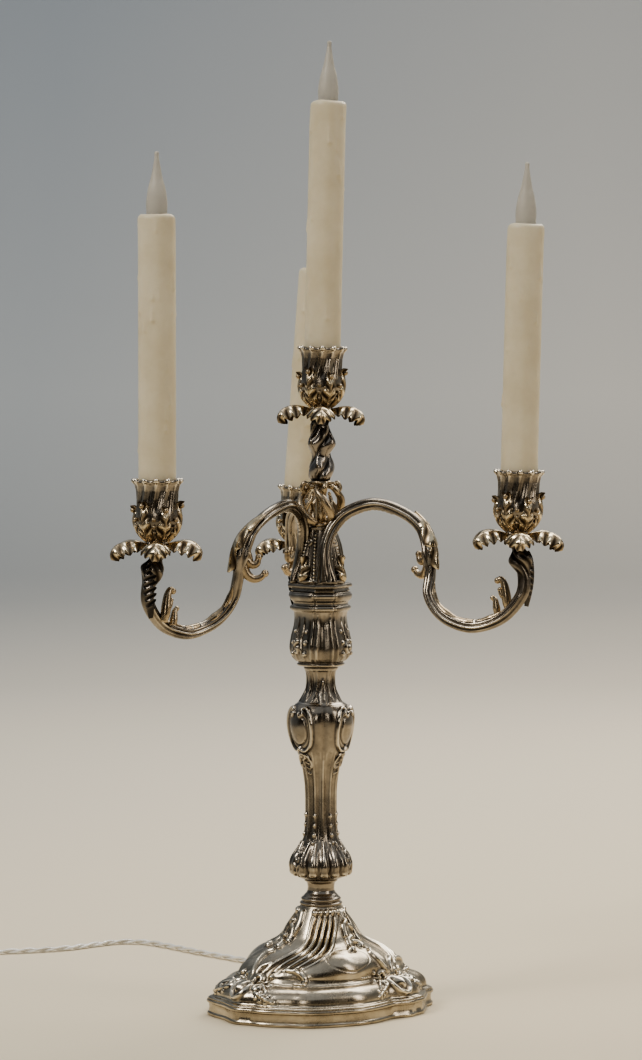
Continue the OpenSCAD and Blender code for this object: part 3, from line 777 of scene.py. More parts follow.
def foot_dome():
    rows, cols = 150, 600
    grid, line = turned_grid(FOOT_OUTLINE, rows, cols)
    azimuth = np.arange(cols) * 360 / cols
    share = np.interp(line[:, 1], (24, 46), (1, 0))[:, None]
    grid[..., :2] *= (1 + share * (plan_radius(azimuth)[None, :] / PLAN_MEAN - 1))[..., None]
    relief = foot_relief(line, cols)
    mesh_piece("foot_casting", chased(grid, relief, 5, 0.9), ROOT_BODY, silver, nodes=("foot_dome",))


foot_border()
foot_dome()


# ------------------------------------------------------------ neck, stem and socket

def foot_neck():
    outline = [(12.4, 65), (13.0, 65.5), (13.1, 66.4), (12.4, 67.0), (11.6, 67.4), (11.6, 67.8),
               (12.2, 68.2), (12.3, 69.0), (11.8, 69.6), (11.0, 70.2), (10.2, 71.2), (9.0, 72.4),
               (8.3, 74.0), (8.2, 76.0), (8.6, 78.4), (9.4, 79.4), (10.2, 79.8), (10.2, 80.6), (9.6, 81)]
    grid, _ = turned_grid(outline, 90, 128, sharp_outline=True)
    mesh_piece("neck_rings", closed_grid(grid), ROOT_BODY, stem_silver, sharp=50, nodes=("foot_neck",))


STEM_OUTLINE = [(10, 81), (13.6, 82), (16.6, 84.4), (18.2, 87.4), (18.5, 90.5), (17.2, 94.6), (14.2, 99),
                (11.6, 103.6), (10.1, 109), (9.2, 119), (9.1, 133), (9.9, 143), (12, 153), (15.8, 162.4),
                (18.4, 170.5), (19.3, 178), (18.4, 184), (16.2, 187.8), (14.8, 188.6), (13.4, 189.2),
                (11.0, 192.6), (8.8, 197), (8.1, 202), (8.7, 207), (10.6, 211)]


def stem_relief(line, cols):
    work = Relief(line, cols, THIRDS)
    # leaf-cut lower bulb: long ribs that end in round lobes
    for i in range(5):
        angle = -48 + 24 * i
        work.stroke([(angle * 0.9, 104), (angle, 97), (angle, 90), (angle, 86)], [0.5, 1.0, 1.7, 2.1], 1.2,
                    taper=False)
        work.bead(angle, 85.6, 2.5, 1.9)
        work.stroke([(angle + 12, 100), (angle + 12, 92), (angle + 12, 85)], [0.5, 0.8, 1.0], -1.1)
    for angle in (-60, 60):
        work.leaf((angle, 84), (angle, 101), 3.8, 4, 1.5)
    # waist: hollow flutes between fine ridges
    for i in range(4):
        angle = -45 + 30 * i
        work.stroke([(angle, 106), (angle, 120), (angle, 140), (angle, 158)], [1.2, 1.5, 1.6, 2.2], -1.0,
                    soft=True)
        work.stroke([(angle + 15, 104), (angle + 15, 130), (angle + 15, 150), (angle + 15, 160)], 0.7, 0.8)
    for level, size in ((120.4, 1.3), (114.4, 1.15), (108.6, 1.3), (104.0, 1.0)):
        work.bead(32, level, size, size * 1.1, mirror=True)
    # knop: broad flute in front, oval cartouches in scrolled rims beside it
    work.stroke([(0, 156), (0, 164), (0, 174), (0, 184), (0, 188)], [1.6, 2.6, 3.4, 3.2, 2.4], -1.5,
                soft=True)
    rim = [(60 - 12, 185.6), (60 - 20, 186.6), (60 - 29, 184.4), (60 - 34, 178), (60 - 35, 171),
           (60 - 31, 165), (60 - 20, 161.4), (60 - 8, 160.8), (60, 162.6)]
    work.stroke(rim, [0.9, 1.3, 1.2, 1.2, 0.9], 1.9, mirror=True, taper=False)
    work.scroll(60 - 10, 183.2, 2.6, 0.8, 100, 0.9, 1.8, mirror=True)
    inner = [(60 - 14, 182), (60 - 22, 180), (60 - 26, 174), (60 - 24, 168.4), (60 - 12, 164.6), (60, 164)]
    work.stroke(inner, 0.6, -0.8, mirror=True, taper=False)
    work.dot(60, work.along(174), 8.5, 1.3, soft=True)
    work.scroll(60, 157.6, 2.8, 0.9, -90, 1.0, 1.6)
    work.stroke([(60, 159), (46, 157.6), (36, 154.4), (34, 151), (39, 150)], [1.1, 1.0, 0.8], 1.4,
                mirror=True, taper=False)
    work.bead(37, 151.4, 1.3, 1.5, mirror=True)
    work.leaf((60, 155), (60, 143), 3.0, 3, 1.1)
    # upper neck: tongue on the front, ridges, rolled shoulder
    work.stroke([(0, 203), (0, 198), (0, 193.4), (0, 189.6)], [0.9, 1.9, 3.4, 3.0], 1.5, taper=False)
    work.stroke([(0, 201), (0, 196), (0, 190)], [0.4, 0.6, 0.8], -0.8)
    work.stroke([(22, 209), (22, 202), (26, 196), (36, 190.4)], 0.8, 1.0, mirror=True)
    work.stroke([(48, 209), (48, 200), (50, 192)], [1.0, 1.2, 1.4], -0.7, mirror=True, soft=True)
    work.stroke([(60, 207), (60, 200), (60, 191)], [0.8, 1.3, 1.6], 0.9)
    work.ring(188.9, 0.8, 0.7)
    work.ring(209.8, 0.7, 0.5)
    return work.heights()


def stem():
    cols = 276
    grid, line = turned_grid(STEM_OUTLINE, 300, cols)
    mesh_piece("baluster", chased(grid, stem_relief(line, cols), 5, 0.8), ROOT_BODY, stem_silver,
               nodes=("stem",))


SOCKET_OUTLINE = [(10.4, 211), (12.8, 211.8), (14.0, 213.0), (13.6, 214.0), (15.2, 215.2), (17.2, 218),
                  (18.2, 222.6), (17.4, 229), (15.8, 236), (15.4, 241), (15.9, 244.6), (16.8, 245.6),
                  (17.6, 246.4), (17.7, 248.0), (17.0, 248.8), (16.2, 249.6), (16.4, 251.0), (17.4, 252.0),
                  (18.3, 253.4), (18.4, 255.4), (17.8, 256.2), (17.6, 257)]


def socket():
    cols = 264
    angles = np.arange(cols) * 360 / cols
    hexagon = polygon_plan(angles, 1.0, 0.93, 9)
    grid, line = turned_grid(SOCKET_OUTLINE, 130, cols)
    share = np.interp(line[:, 1], (211, 216, 240, 246), (0.2, 0.7, 0.8, 1))[:, None]
    grid[..., :2] *= (1 + share * (hexagon[None, :] / hexagon.mean() - 1))[..., None]
    work = Relief(line, cols, THIRDS)
    # narrow front panel: a flute between two bright ridges
    for edge in (14, 24):
        work.stroke([(edge, 244), (edge, 234), (edge * 1.1, 224), (edge * 1.2, 215)], [0.6, 0.9, 1.0, 0.8],
                    1.1 if edge == 14 else 0.7, mirror=True)
    work.stroke([(0, 243), (0, 234), (0, 225), (0, 216)], [1.6, 2.0, 2.6, 2.6], -0.9, soft=True)
    for level, size in ((233.4, 1.05), (226.6, 1.35), (219.8, 1.7)):
        work.bead(41, level, size, size * 1.15, mirror=True)
    # ear scrolls on the wide sides
    work.stroke([(50, 241), (50, 234), (53, 228), (50, 221), (46, 216)], [0.7, 1.0, 1.1, 0.9], 1.3,
                mirror=True)
    work.scroll(60, 223, 4.2, 0.8, 90, 1.6, 2.0)
    # the mouldings step forward over each narrow face
    for level in (247.4, 255.0):
        work.stroke([(-19, level), (19, level)], 1.6, 0.9, taper=False)
    for side in (-19.5, 19.5):
        work.stroke([(side, 257), (side, 245)], 0.5, -0.6, taper=False)
    work.ring(212.6, 0.9, 0.7)
    mesh_piece("socket_casting", chased(grid, work.heights(), 4, 0.8), ROOT_BODY, stem_silver,
               nodes=("socket_vase",))


COLLAR_HALF = 18       # half angle of a narrow face
SOCKET_TOP = 257.1
COLLAR_TOP = 262.5


def collar():
    """Six-sided plate in two steps, with a hollow between them."""
    corners = [FACE + 120 * i + side * COLLAR_HALF for i in range(THIRDS) for side in (-1, 1)]
    shape = []
    for a, b in zip(corners, corners[1:] + corners[:1]):
        p = np.array([math.cos(math.radians(a)), math.sin(math.radians(a))])
        q = np.array([math.cos(math.radians(b)), math.sin(math.radians(b))])
        shape += [p + (q - p) * t for t in np.linspace(0.03, 0.97, 12)]
    shape = np.array(shape)
    profile = [(18.0, SOCKET_TOP), (18.6, 257.3), (18.9, 257.9), (18.4, 258.6), (18.2, 259.2), (18.9, 259.6),
               (20.2, 260.0), (20.6, 260.8), (20.3, 261.7), (19.4, 262.3), (17.6, COLLAR_TOP)]
    grid = np.array([np.column_stack([shape * r, np.full(len(shape), z)]) for r, z in profile])
    mesh_piece("branch_plate", closed_grid(grid), ROOT_BODY, stem_silver, sharp=35, nodes=("branch_collar",))


foot_neck()
stem()
socket()
collar()


# ------------------------------------------------------------ acanthus leaves

LEAF_COLS = 15         # points across a leaf
LOBE_CUT = 0.34        # how deep the edge is cut between lobes, as a share of the width
LOBE_HANG = 1.1        # how far the lobes' ends hang, mm
VEIN_H = 0.55          # height of the veins and of the mid rib, mm
RIB_H = 1.0


def leaf_skin(spine, widths, hang, lobes, turn=0.0, face=1, reach_out=1.6, thick=1.1, rows=40):
    """A leaf along a (reach, height) spine: lobed edges that hang to the sides, a rib and veins.
    widths and hang are spread along the spine, and reach_out sweeps the lobes towards the tip.
    The veined face is the upper side of a spine that runs outwards; face -1 turns it over."""
    path = smooth_curve([(reach, 0, height) for reach, height in spine], rows)
    way = unit_rows(np.gradient(path, axis=0))
    above = face * np.stack([-way[:, 2], np.zeros(rows), way[:, 0]], axis=-1)
    s = np.linspace(0, 1, rows)[:, None]
    u = np.linspace(face, -face, LEAF_COLS)[None, :]
    off = np.abs(u)
    wave = np.abs(np.sin(math.pi * lobes * s))
    lobed = np.interp(s, (0.12, 0.3), (0, 1))
    width = np.interp(s, np.linspace(0, 1, len(widths)), widths) * (1 - LOBE_CUT * lobed * (1 - wave ** 0.5))
    sink = np.interp(s, np.linspace(0, 1, len(hang)), hang) * off ** 1.7
    sink = sink + LOBE_HANG * lobed * wave * off ** 3
    veins = VEIN_H * np.cos(2 * math.pi * (lobes * s - 0.5 - 0.5 * off)) * np.clip(off * 3, 0, 1) * lobed
    rib = RIB_H * np.exp(-(u / 0.16) ** 2) * (1 - 0.4 * s)
    lift = veins + rib - sink
    sweep = reach_out * lobed * wave * off ** 2
    half = thick * np.interp(off, (0.7, 1), (0.5, 0.22)) * np.interp(s, (0, 0.9, 1), (1, 1, 0.5))
    side = np.array([0, 1, 0])

    def sheet(height):
        return (path[:, None] + way[:, None] * sweep[..., None] + above[:, None] * height[..., None]
                + side * (u * width)[..., None])

    grid = np.concatenate([sheet(lift + half), sheet(lift - half)[:, ::-1]], axis=1)
    # painted shade: darker in the troughs between the veins and all over the under sheet, lighter on the raised
    # veins and rib
    shade = np.clip(0.52 - 0.5 * veins - 0.15 * rib, 0, 1)
    recess = np.concatenate([shade, np.full_like(shade, 0.8)], axis=1)
    verts, faces, shade = closed_grid(grid, recess)
    return spin(verts, turn), faces, shade


def spin(points, degrees):
    c, s = math.cos(math.radians(degrees)), math.sin(math.radians(degrees))
    return points @ np.array([[c, s, 0], [-s, c, 0], [0, 0, 1]])


def moved(part, offset):
    verts, faces, shade = part
    return verts + np.asarray(offset), faces, shade


# ------------------------------------------------------------ branch housing, cage and twist

def housing():
    """Pyramid of leafwork between the arm roots, with beaded strings down its edges."""
    outline = [(14.6, COLLAR_TOP), (14.8, 263.6), (13.6, 265), (12.4, 269), (11.0, 276), (9.2, 284),
               (7.4, 291), (6.8, 295), (7.2, 296.2), (6.6, 297)]
    cols = 216
    grid, line = turned_grid(outline, 110, cols)
    work = Relief(line, cols, THIRDS)
    work.stroke([(60, 266), (60, 276), (60, 290)], [2.6, 2.0, 1.2], -0.8, soft=True)
    work.stroke([(47, 266), (49, 276), (54, 290)], [0.8, 0.9, 0.7], 0.9, mirror=True)
    work.scroll(60, 288, 2.4, 1.0, -90, 0.9, 1.5)
    for i in range(14):
        work.bead(26 + 0.4 * i, 264.5 + 2.1 * i, 1.0, 1.3, mirror=True)
    work.stroke([(60, 296), (60, 290)], 1.4, 0.9)
    work.ring(264, 0.8, 0.6)
    mesh_piece("branch_pyramid", chased(grid, work.heights(), 4, 0.7), ROOT_BODY, stem_silver,
               nodes=("branch_housing",))
    leaves = []
    for i in range(THIRDS):
        spine = [(13.4, 264), (15.4, 265.4), (15.0, 269), (13.8, 273), (14.4, 277), (15.8, 278.6)]
        leaves.append(leaf_skin(spine, (2.4, 5.2, 5.0, 4.0, 2.6, 0.9), (0.6, 1.4, 0.8), 3,
                                FACE + 60 + 120 * i, face=-1))
    mesh_piece("branch_leaves", join_parts(leaves), ROOT_BODY, gilt)


HORN_SIDES = 14


def horn(points, radii, side_of, count=26, ball=0.0):
    """A scroll of round section along a curve, its radii spread along it, with a ball at its tip."""
    path = smooth_curve(points, count)
    radius = np.interp(np.linspace(0, 1, count), np.linspace(0, 1, len(radii)), radii)
    parts = [closed_grid(tube(path, radius, HORN_SIDES, reference=side_of))]
    if ball:
        parts.append(ball_part(path[-1], ball))
    return parts


def ball_part(centre, radius):
    rows, cols = 9, 14
    lift = np.linspace(-0.47, 0.47, rows) * math.pi
    around = np.arange(cols) * 2 * math.pi / cols
    grid = np.stack([np.cos(lift)[:, None] * np.cos(around), np.cos(lift)[:, None] * np.sin(around),
                     np.repeat(np.sin(lift)[:, None], cols, axis=1)], axis=-1)
    return closed_grid(np.asarray(centre) + radius * grid)


CAGE_FOOT = [(6.0, 296.8), (7.0, 297.4), (7.0, 298.6), (5.6, 299.6), (3.2, 300)]
CAGE_HEAD = [(3.2, 321.6), (5.2, 322.2), (6.8, 323), (6.8, 324.4), (5.6, 325.2)]
CAGE_LOOPS = 4
CAGE_TURN = FACE + 8


def scroll_cage():
    """Open cage of leafy C-scrolls round the wire tube, with beads where they meet."""
    parts = [closed_grid(turned_grid([(3.4, 296.6), (3.4, 325.4)], 4, 24, sharp_outline=True)[0]),
             closed_grid(turned_grid(CAGE_FOOT, 14, 40)[0]), closed_grid(turned_grid(CAGE_HEAD, 14, 40)[0])]
    for i in range(CAGE_LOOPS):
        turn = math.radians(CAGE_TURN + 360 / CAGE_LOOPS * i)
        out = np.array([math.cos(turn), math.sin(turn), 0])
        across = np.array([-math.sin(turn), math.cos(turn), 0])

        def at(r, z, off=0.0):
            return out * r + across * off + [0, 0, z]

        rib = [at(4.0, 299, 4.0), at(8.6, 301.6, 4.4), at(12.4, 307, 2.4), at(12.2, 313.4, -1.6),
               at(8.6, 318.6, -4.4), at(4.4, 322.4, -3.6)]
        parts += horn(rib, (2.3, 2.7, 2.7, 2.5, 2.0, 1.4), across)
        curl = [at(9.6, 317.4, -1.2), at(11.6, 320.6, -0.8), at(10.4, 323.6, 0), at(8.2, 322.6, 0.4)]
        parts += horn(curl, (1.8, 1.6, 1.2), across, ball=1.8)
        leaf = [at(11.4, 304, 1.2), at(9.6, 309.6, 3.4), at(7.2, 313.6, 4.6), at(6.4, 317, 3.6)]
        parts += horn(leaf, (1.5, 1.6, 1.1, 0.7), across, ball=1.1)
        parts.append(ball_part(at(6.8, 321.4, 4.6), 1.7))
        parts.append(ball_part(at(7.4, 299.8, 4.8), 1.5))
    mesh_piece("scroll_cage_work", join_parts(parts), ROOT_BODY, gilt, nodes=("scroll_cage",))


TWIST_FOOT = 325
TWIST_TALL = 36
TWIST_TURN = 250       # degrees wound over that height


def twist_stem():
    """Three rope-like strands wound up to the centre light, swollen twice and set with knuckles."""
    rows, cols = 150, 96
    line = smooth_curve([(5.6, 325), (7.4, 328.6), (7.9, 332.4), (6.4, 337), (5.6, 340), (6.6, 343.4),
                         (8.1, 347.4), (7.0, 353), (5.6, 357.4), (5.4, 361), (5.6, 365.4)], rows)
    angles = np.arange(cols) * 360 / cols
    wind = TWIST_TURN * (line[:, 1:] - TWIST_FOOT) / TWIST_TALL
    folded = (angles[None, :] - wind) % 120 - 60
    lobes = np.sqrt(np.clip(1 - (folded / 63) ** 2, 0, 1))
    knuckle = np.cos(np.radians(line[:, 1:] * 15 + folded * 1.5)) ** 6
    share = np.interp(line[:, 1:], (325, 327, 359, 362), (0.2, 1, 1, 0))
    radius = line[:, :1] * (1 - 0.40 * share * (1 - lobes)) + 1.3 * share * knuckle * lobes
    way = np.radians(angles)
    height = np.repeat(line[:, 1:], cols, axis=1)
    grid = np.stack([radius * np.cos(way), radius * np.sin(way), height], axis=-1)
    # darker in the grooves between the strands, lighter on the strands and knuckles: tarnish, and painted shade in
    # the grooves
    recess = np.clip(1.0 - lobes * share - 0.3 * knuckle * share, 0, 1)
    mesh_piece("twisted_stem", closed_grid(grid, recess), ROOT_BODY, dark_silver, nodes=("twist_stem",))


housing()
scroll_cage()
twist_stem()


# ------------------------------------------------------------ lights

SLEEVE_D = 22.0
SLEEVE_FOOT = 15.3
HOLDER_DOWN = 12
PAN_T = 1.4
STEM_HOLE = 4.2
JOINTS = {joint["name"]: joint for joint in frame["joints"]}


class Light:
    """Where a light stands, read from its joints: lean, foot of the pan and top of the sleeve in mm."""

    def __init__(self, k):
        axis = JOINTS[f"sleeve_lift_{k}"]["axis"]
        self.lean = math.atan2(axis[0], axis[2])
        low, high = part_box(f"sleeve_{k}")
        tall = (high.z - low.z) / MM
        self.sleeve_top = SLEEVE_FOOT + (tall - SLEEVE_D * math.sin(self.lean)) / math.cos(self.lean)
        pivot = np.array(JOINTS[f"bulb_turn_{k}"]["pos_m"]) / MM
        self.foot = pivot - np.array(axis) * (self.sleeve_top - HOLDER_DOWN)

    def place(self, part):
        verts, faces, shade = part
        c, s = math.cos(self.lean), math.sin(self.lean)
        turn = np.array([[c, 0, s], [0, 1, 0], [-s, 0, c]])
        return verts @ turn.T + self.foot, faces, shade


lights = [Light(k) for k in LIGHTS]
LEAVES = 6


def pan_part():
    """Rosette of drooping acanthus leaves round a small hub."""
    hub = [(STEM_HOLE, 0.1), (8.0, 0.1), (9.4, 0.9), (9.0, 2.0), (7.4, 2.6), (STEM_HOLE, 2.6)]
    parts = [closed_grid(turned_grid(hub, 14, 48, sharp_outline=True)[0], loop=True)]
    for i in range(LEAVES):
        long = i % 2                # every other leaf is 1 mm longer
        spine = [(5.0, 1.2), (10, 2.4), (16, 3.6), (21.5, 3.4), (25.8 + long, 1.2), (28.4 + long, -2.4),
                 (28.0 + long, -5.6)]
        parts.append(leaf_skin(spine, (2.6, 6.4, 8.8, 9.0, 7.6, 5.2, 1.8), (0.3, 2.0, 3.8, 4.4, 3.4, 1.2),
                               4.5, FRONT + 360 * i / LEAVES, thick=1.5))
    return join_parts(parts)


NOZZLE_OUTLINE = [(STEM_HOLE, PAN_T), (6.4, PAN_T), (6.6, 2.0), (5.9, 2.8), (5.0, 4.0), (5.4, 5.2),
                  (7.0, 6.8), (9.8, 9.8), (12.0, 13.2), (12.9, 16.4), (12.8, 20.0), (12.2, 24.0),
                  (11.9, 29.0), (12.0, 34.0), (12.5, 37.2), (13.4, 38.6), (13.8, 39.4), (13.5, 40.3),
                  (12.6, 40.6)]
NOZZLE_INSIDE = [(11.9, 40.3), (11.4, 39.6), (11.3, 34.0), (11.3, 20.0), (11.3, 15.0), (8.0, 15.0),
                 (STEM_HOLE, 15.0)]
RIM_LOBES = 12


def nozzle_part():
    """Candle cup with broad winding flutes and a lip of flared points."""
    cols = 240
    grid, line = turned_grid(NOZZLE_OUTLINE, 104, cols, sharp_outline=True)
    work = Relief(line, cols, front=FRONT)
    step = 360 / RIM_LOBES
    for i in range(RIM_LOBES):
        turn = step * i
        work.stroke([(turn, 38), (turn - 6, 31), (turn - 14, 22)], [0.9, 0.7, 0.6], 0.5, taper=False)
        work.bead(turn, 39.6, 1.7, 0.9)
        work.stroke([(turn + step / 2, 37.5), (turn + step / 2 - 6, 31), (turn + step / 2 - 13, 23)],
                    [1.2, 1.6, 1.4], -0.7, soft=True)
    for i in range(18):
        work.stroke([(20 * i, 6.0), (20 * i, 3.2)], 0.5, 0.5)
    relief = work.heights()
    lip = np.interp(line[:, 1:], (34, 38.6, 39.6), (0, 0.7, 1))
    points = np.cos(np.radians(RIM_LOBES * (work.angle - FRONT)))[None, :]
    grid += grid_normals(grid) * relief[..., None]
    grid[..., :2] *= 1 + 0.05 * lip[..., None] * np.clip(points, -0.4, 1)[..., None]
    grid[..., 2] += 0.5 * lip * points
    inside, _ = turned_grid(NOZZLE_INSIDE, 16, cols, sharp_outline=True)
    shade = np.clip(recess_of(relief, 4, 0.7) - 0.3 * lip * np.clip(points, 0, 1), 0, 1)
    # painted shade inside the cup
    shade = np.concatenate([shade, np.full((16, cols), 0.8)])
    return closed_grid(np.concatenate([grid, inside]), shade, loop=True)


CUP_LEAF_TURN = 24
CUP_BEADS = ((13.7, 17.4, 1.4), (13.0, 13.2, 1.1), (10.6, 9.8, 0.9))    # reach, height and radius


def nozzle_leaves():
    """Leaves that wrap the cup's bulb and curl away at their tips, with beads between them."""
    parts = []
    for i in range(LEAVES):
        turn = FRONT + CUP_LEAF_TURN + 360 * i / LEAVES
        high = 2.6 * (i % 2)        # every other leaf stands taller
        spine = [(5.0, 5.0), (7.8, 7.0), (10.6, 10.0), (12.6, 14.0), (13.2, 17.6 + high / 2),
                 (12.6, 20.6 + high), (13.0, 23.0 + high), (14.4, 23.0 + high)]
        parts.append(leaf_skin(spine, (1.6, 3.2, 4.8, 5.2, 4.4, 3.6, 2.8, 1.8), (0.2, 0.6, 1.0, 0.8), 3.5,
                               turn, face=-1, reach_out=1.0, thick=2.0, rows=44))
        tip = spin(np.array([14.4, 0, 22.8 + high]), turn)
        parts.append(ball_part(tip, 1.6))
        for reach, height, size in CUP_BEADS:
            spot = spin(np.array([reach, 0, height]), turn + 180 / LEAVES)
            parts.append(ball_part(spot, size))
    return join_parts(parts)


WAX_RUNS = 26


def sleeve_part(light, seed):
    """Hollow wax sleeve with a soft shoulder and small runs of wax down its sides."""
    cols = 112
    r, top, wall = SLEEVE_D / 2, light.sleeve_top, 1.6
    outside = [(r - wall, SLEEVE_FOOT), (r - 0.4, SLEEVE_FOOT), (r, SLEEVE_FOOT + 0.5),
               (r, SLEEVE_FOOT + 60), (r, top - 3.2), (r - 0.2, top - 1.7), (r - 0.8, top - 0.6),
               (r - 1.8, top)]
    inside = [(8.5, top), (8.2, top - 0.6), (8.2, top - 3), (r - wall, top - 4.4),
              (r - wall, SLEEVE_FOOT + 0.4)]
    grid, line = turned_grid(outside, 230, cols, sharp_outline=True)
    work = Relief(line, cols, front=FRONT)
    chance = np.random.default_rng(seed)
    for _ in range(WAX_RUNS):
        angle = chance.uniform(0, 360)
        level = chance.uniform(SLEEVE_FOOT + 25, top - 6)
        run = chance.uniform(2.5, 9)
        size = chance.uniform(0.75, 1.25)
        work.stroke([(angle, level + run), (angle + 1, level)], [size * 0.5, size * 0.9], size * 0.7,
                    soft=True, taper=False)
        work.bead(angle + 1, level, size * 1.15, size)
    rim = 0.35 * np.cos(np.radians(work.angle * 3 + 40 * seed))[None, :]
    relief = blur(work.heights(), 1) + rim * np.interp(line[:, 1], (top - 14, top - 2), (0, 1))[:, None]
    grid += grid_normals(grid) * relief[..., None]
    hollow, _ = turned_grid(inside, 12, cols, sharp_outline=True)
    return closed_grid(np.concatenate([grid, hollow]), loop=True)


BULB_SHOW = 37
BULB_GAP = 0.3


def bulb_part(light):
    """Frosted flame-shaped glass with a drawn-out, slightly uneven tip."""
    h = HOLDER_DOWN + BULB_SHOW - BULB_GAP
    outline = [(4.4, 0), (4.9, 2), (5.0, 5), (5.8, 10), (6.25, 17), (5.95, 22), (4.9, 28), (3.4, 33.5),
               (2.2, h - 9), (1.5, h - 5), (1.25, h - 2.6), (1.4, h - 1.4), (1.0, h - 0.3), (0.3, h)]
    grid, _ = turned_grid(outline, 70, 40)
    grid[..., 2] += light.sleeve_top - HOLDER_DOWN + BULB_GAP
    return closed_grid(grid)


for k, light in enumerate(lights):
    mesh_piece(f"leaf_pan_{k}", light.place(pan_part()), ROOT_BODY, gilt, nodes=(f"pan_{k}",))
    mesh_piece(f"candle_cup_{k}", light.place(nozzle_part()), ROOT_BODY, stem_silver, sharp=60,
               nodes=(f"nozzle_{k}",))
    mesh_piece(f"cup_leaves_{k}", light.place(nozzle_leaves()), ROOT_BODY, gilt)
    mesh_piece(f"wax_sleeve_{k}", light.place(sleeve_part(light, k)), f"sleeve_{k}", wax, sharp=60,
               nodes=(f"sleeve_{k}",))
    mesh_piece(f"flame_bulb_{k}", light.place(bulb_part(light)), f"bulb_{k}", glass, nodes=(f"bulb_{k}",))


# ------------------------------------------------------------ arms

# The right arm's centreline; the others are turned copies, eased to their own lights
ARM_POINTS = np.array([(3, -14, 262.7), (2.6, -12.8, 275), (3, -11, 286), (8, -8, 298), (18, -6, 307),
                       (34, -5, 311), (51, -9, 305), (61, -13, 296), (66, -17, 283), (66, -20, 268),
                       (65, -24, 257), (70, -29, 247), (79, -35, 240.5), (92, -41, 238), (108, -47, 244),
                       (119, -50, 257), (121, -49, 269), (118.4, -47, 281), (117, -46, 291)], float)
KINK = 0.475           # where along an arm the arch meets the second curve
KNUCKLE_DOWN = 13      # from an arm's end down to its wound knuckle
NECK_DOWN = 5.5
RIDGE = (0.535, 0.80)  # the second curve's leafy ridge, as shares of an arm's length


# Scrolls of an arm: outward and upward points, radii spread along them, and the tip's ball radius
KINK_SCROLLS = (
    (((-1, 6), (-1.6, -2), (-4, -7.6), (-8, -10.4), (-12, -9.8), (-15, -7.2)),
     (2.8, 3.6, 3.2, 2.7, 2.2, 1.7), 2.3),
    (((-2, 3), (-6.4, -1.6), (-9.8, -1.4), (-11.2, 2.4)), (2.8, 2.8, 2.3, 1.7), 2.1),
    (((-2.4, 9), (-5, 4), (-6.2, 0)), (1.6, 2.2, 1.8), 0),
)
END_SCROLLS = (
    (((-5, -43), (-6.2, -37.5), (-7, -32), (-8, -27), (-10, -24), (-12, -25)),
     (2.0, 2.9, 3.0, 2.6, 2.1, 1.6), 2.0),
    (((-12, -45), (-12.8, -40.4), (-13.4, -37), (-15, -35.4)), (2.2, 2.4, 1.9, 1.4), 1.6),
    (((-6.5, -36), (-9.4, -33.4), (-10.6, -30.4)), (2.0, 1.8, 1.3), 1.5),
)
# Spines of an arm's two leaves, as outward and upward points
KINK_LEAF = [(-15, 27.5), (-7.4, 23.4), (0.4, 15.6), (4.4, 7), (5.8, 0), (7.0, -6.4)]
END_LEAF = [(5.4, -40), (7.4, -33), (8.7, -26), (9.1, -19), (8.4, -12), (6.4, -7)]


def arm_centre(k, count):
    turned = spin(ARM_POINTS, 120 * (k - 1))
    share = np.linspace(0, 1, len(turned))[:, None] ** 2
    return smooth_curve(turned + (lights[k].foot - turned[-1]) * share, count)


def arm_relief(line, cols, length):
    """Chasing of an arm. Angle 90 is the arch's hollow side and the second curve's outer side,
    -90 is opposite it, and 0 and 180 are the flat cheeks."""
    work = Relief(line, cols, front=0)
    for cheek in (0, 180):
        work.stroke([(cheek, 2), (cheek, length * 0.25), (cheek, length * 0.45)], [1.0, 0.8, 0.5], 0.8)
        for groove in (-28, 28):
            work.stroke([(cheek + groove, 2), (cheek + groove, length * 0.2),
                         (cheek + groove * 0.9, length * 0.44)],
                        [0.7, 0.7, 0.5], -0.8, taper=False)
        work.stroke([(cheek + 10, length * 0.5), (cheek - 6, length * 0.65), (cheek + 8, length * 0.86)],
                    0.8, 0.9)
        for groove in (-26, 30):
            work.stroke([(cheek + groove, length * 0.5), (cheek + groove * 0.7, length * 0.7),
                         (cheek + groove, length * 0.88)], [0.6, 0.9, 0.6], -0.8)
    for i in range(16):
        work.bead(90, length * (0.13 + 0.012 * i), 1.0, 0.9)
    # leaf sheath where the arch ends
    for angle in range(0, 360, 60):
        work.stroke([(angle, length * (KINK - 0.07)), (angle + 8, length * (KINK + 0.012))], [0.8, 1.8], 1.1)
    # ridge with beads along the inside of the second curve
    work.stroke([(-90, length * 0.56), (-84, length * 0.66), (-96, length * 0.76)], [1.0, 1.7, 1.2], 1.1)
    for i in range(5):
        work.bead(-90 + 9 * (-1) ** i, length * (0.68 + 0.014 * i), 1.7, 1.5)
    # wound knuckle under the light
    for i in range(3):
        work.stroke([(120 * i, length - 23), (120 * i + 60, length - 14), (120 * i + 130, length - 6)],
                    [0.7, 1.2, 0.8], -1.5)
        work.stroke([(120 * i + 50, length - 22), (120 * i + 112, length - 14), (120 * i + 180, length - 7)],
                    [0.8, 1.5, 0.8], 0.8)
    work.ring(length - 2.8, 2.2, 2.6)
    work.ring(length - 5.0, 0.9, 0.6)
    return work.heights()


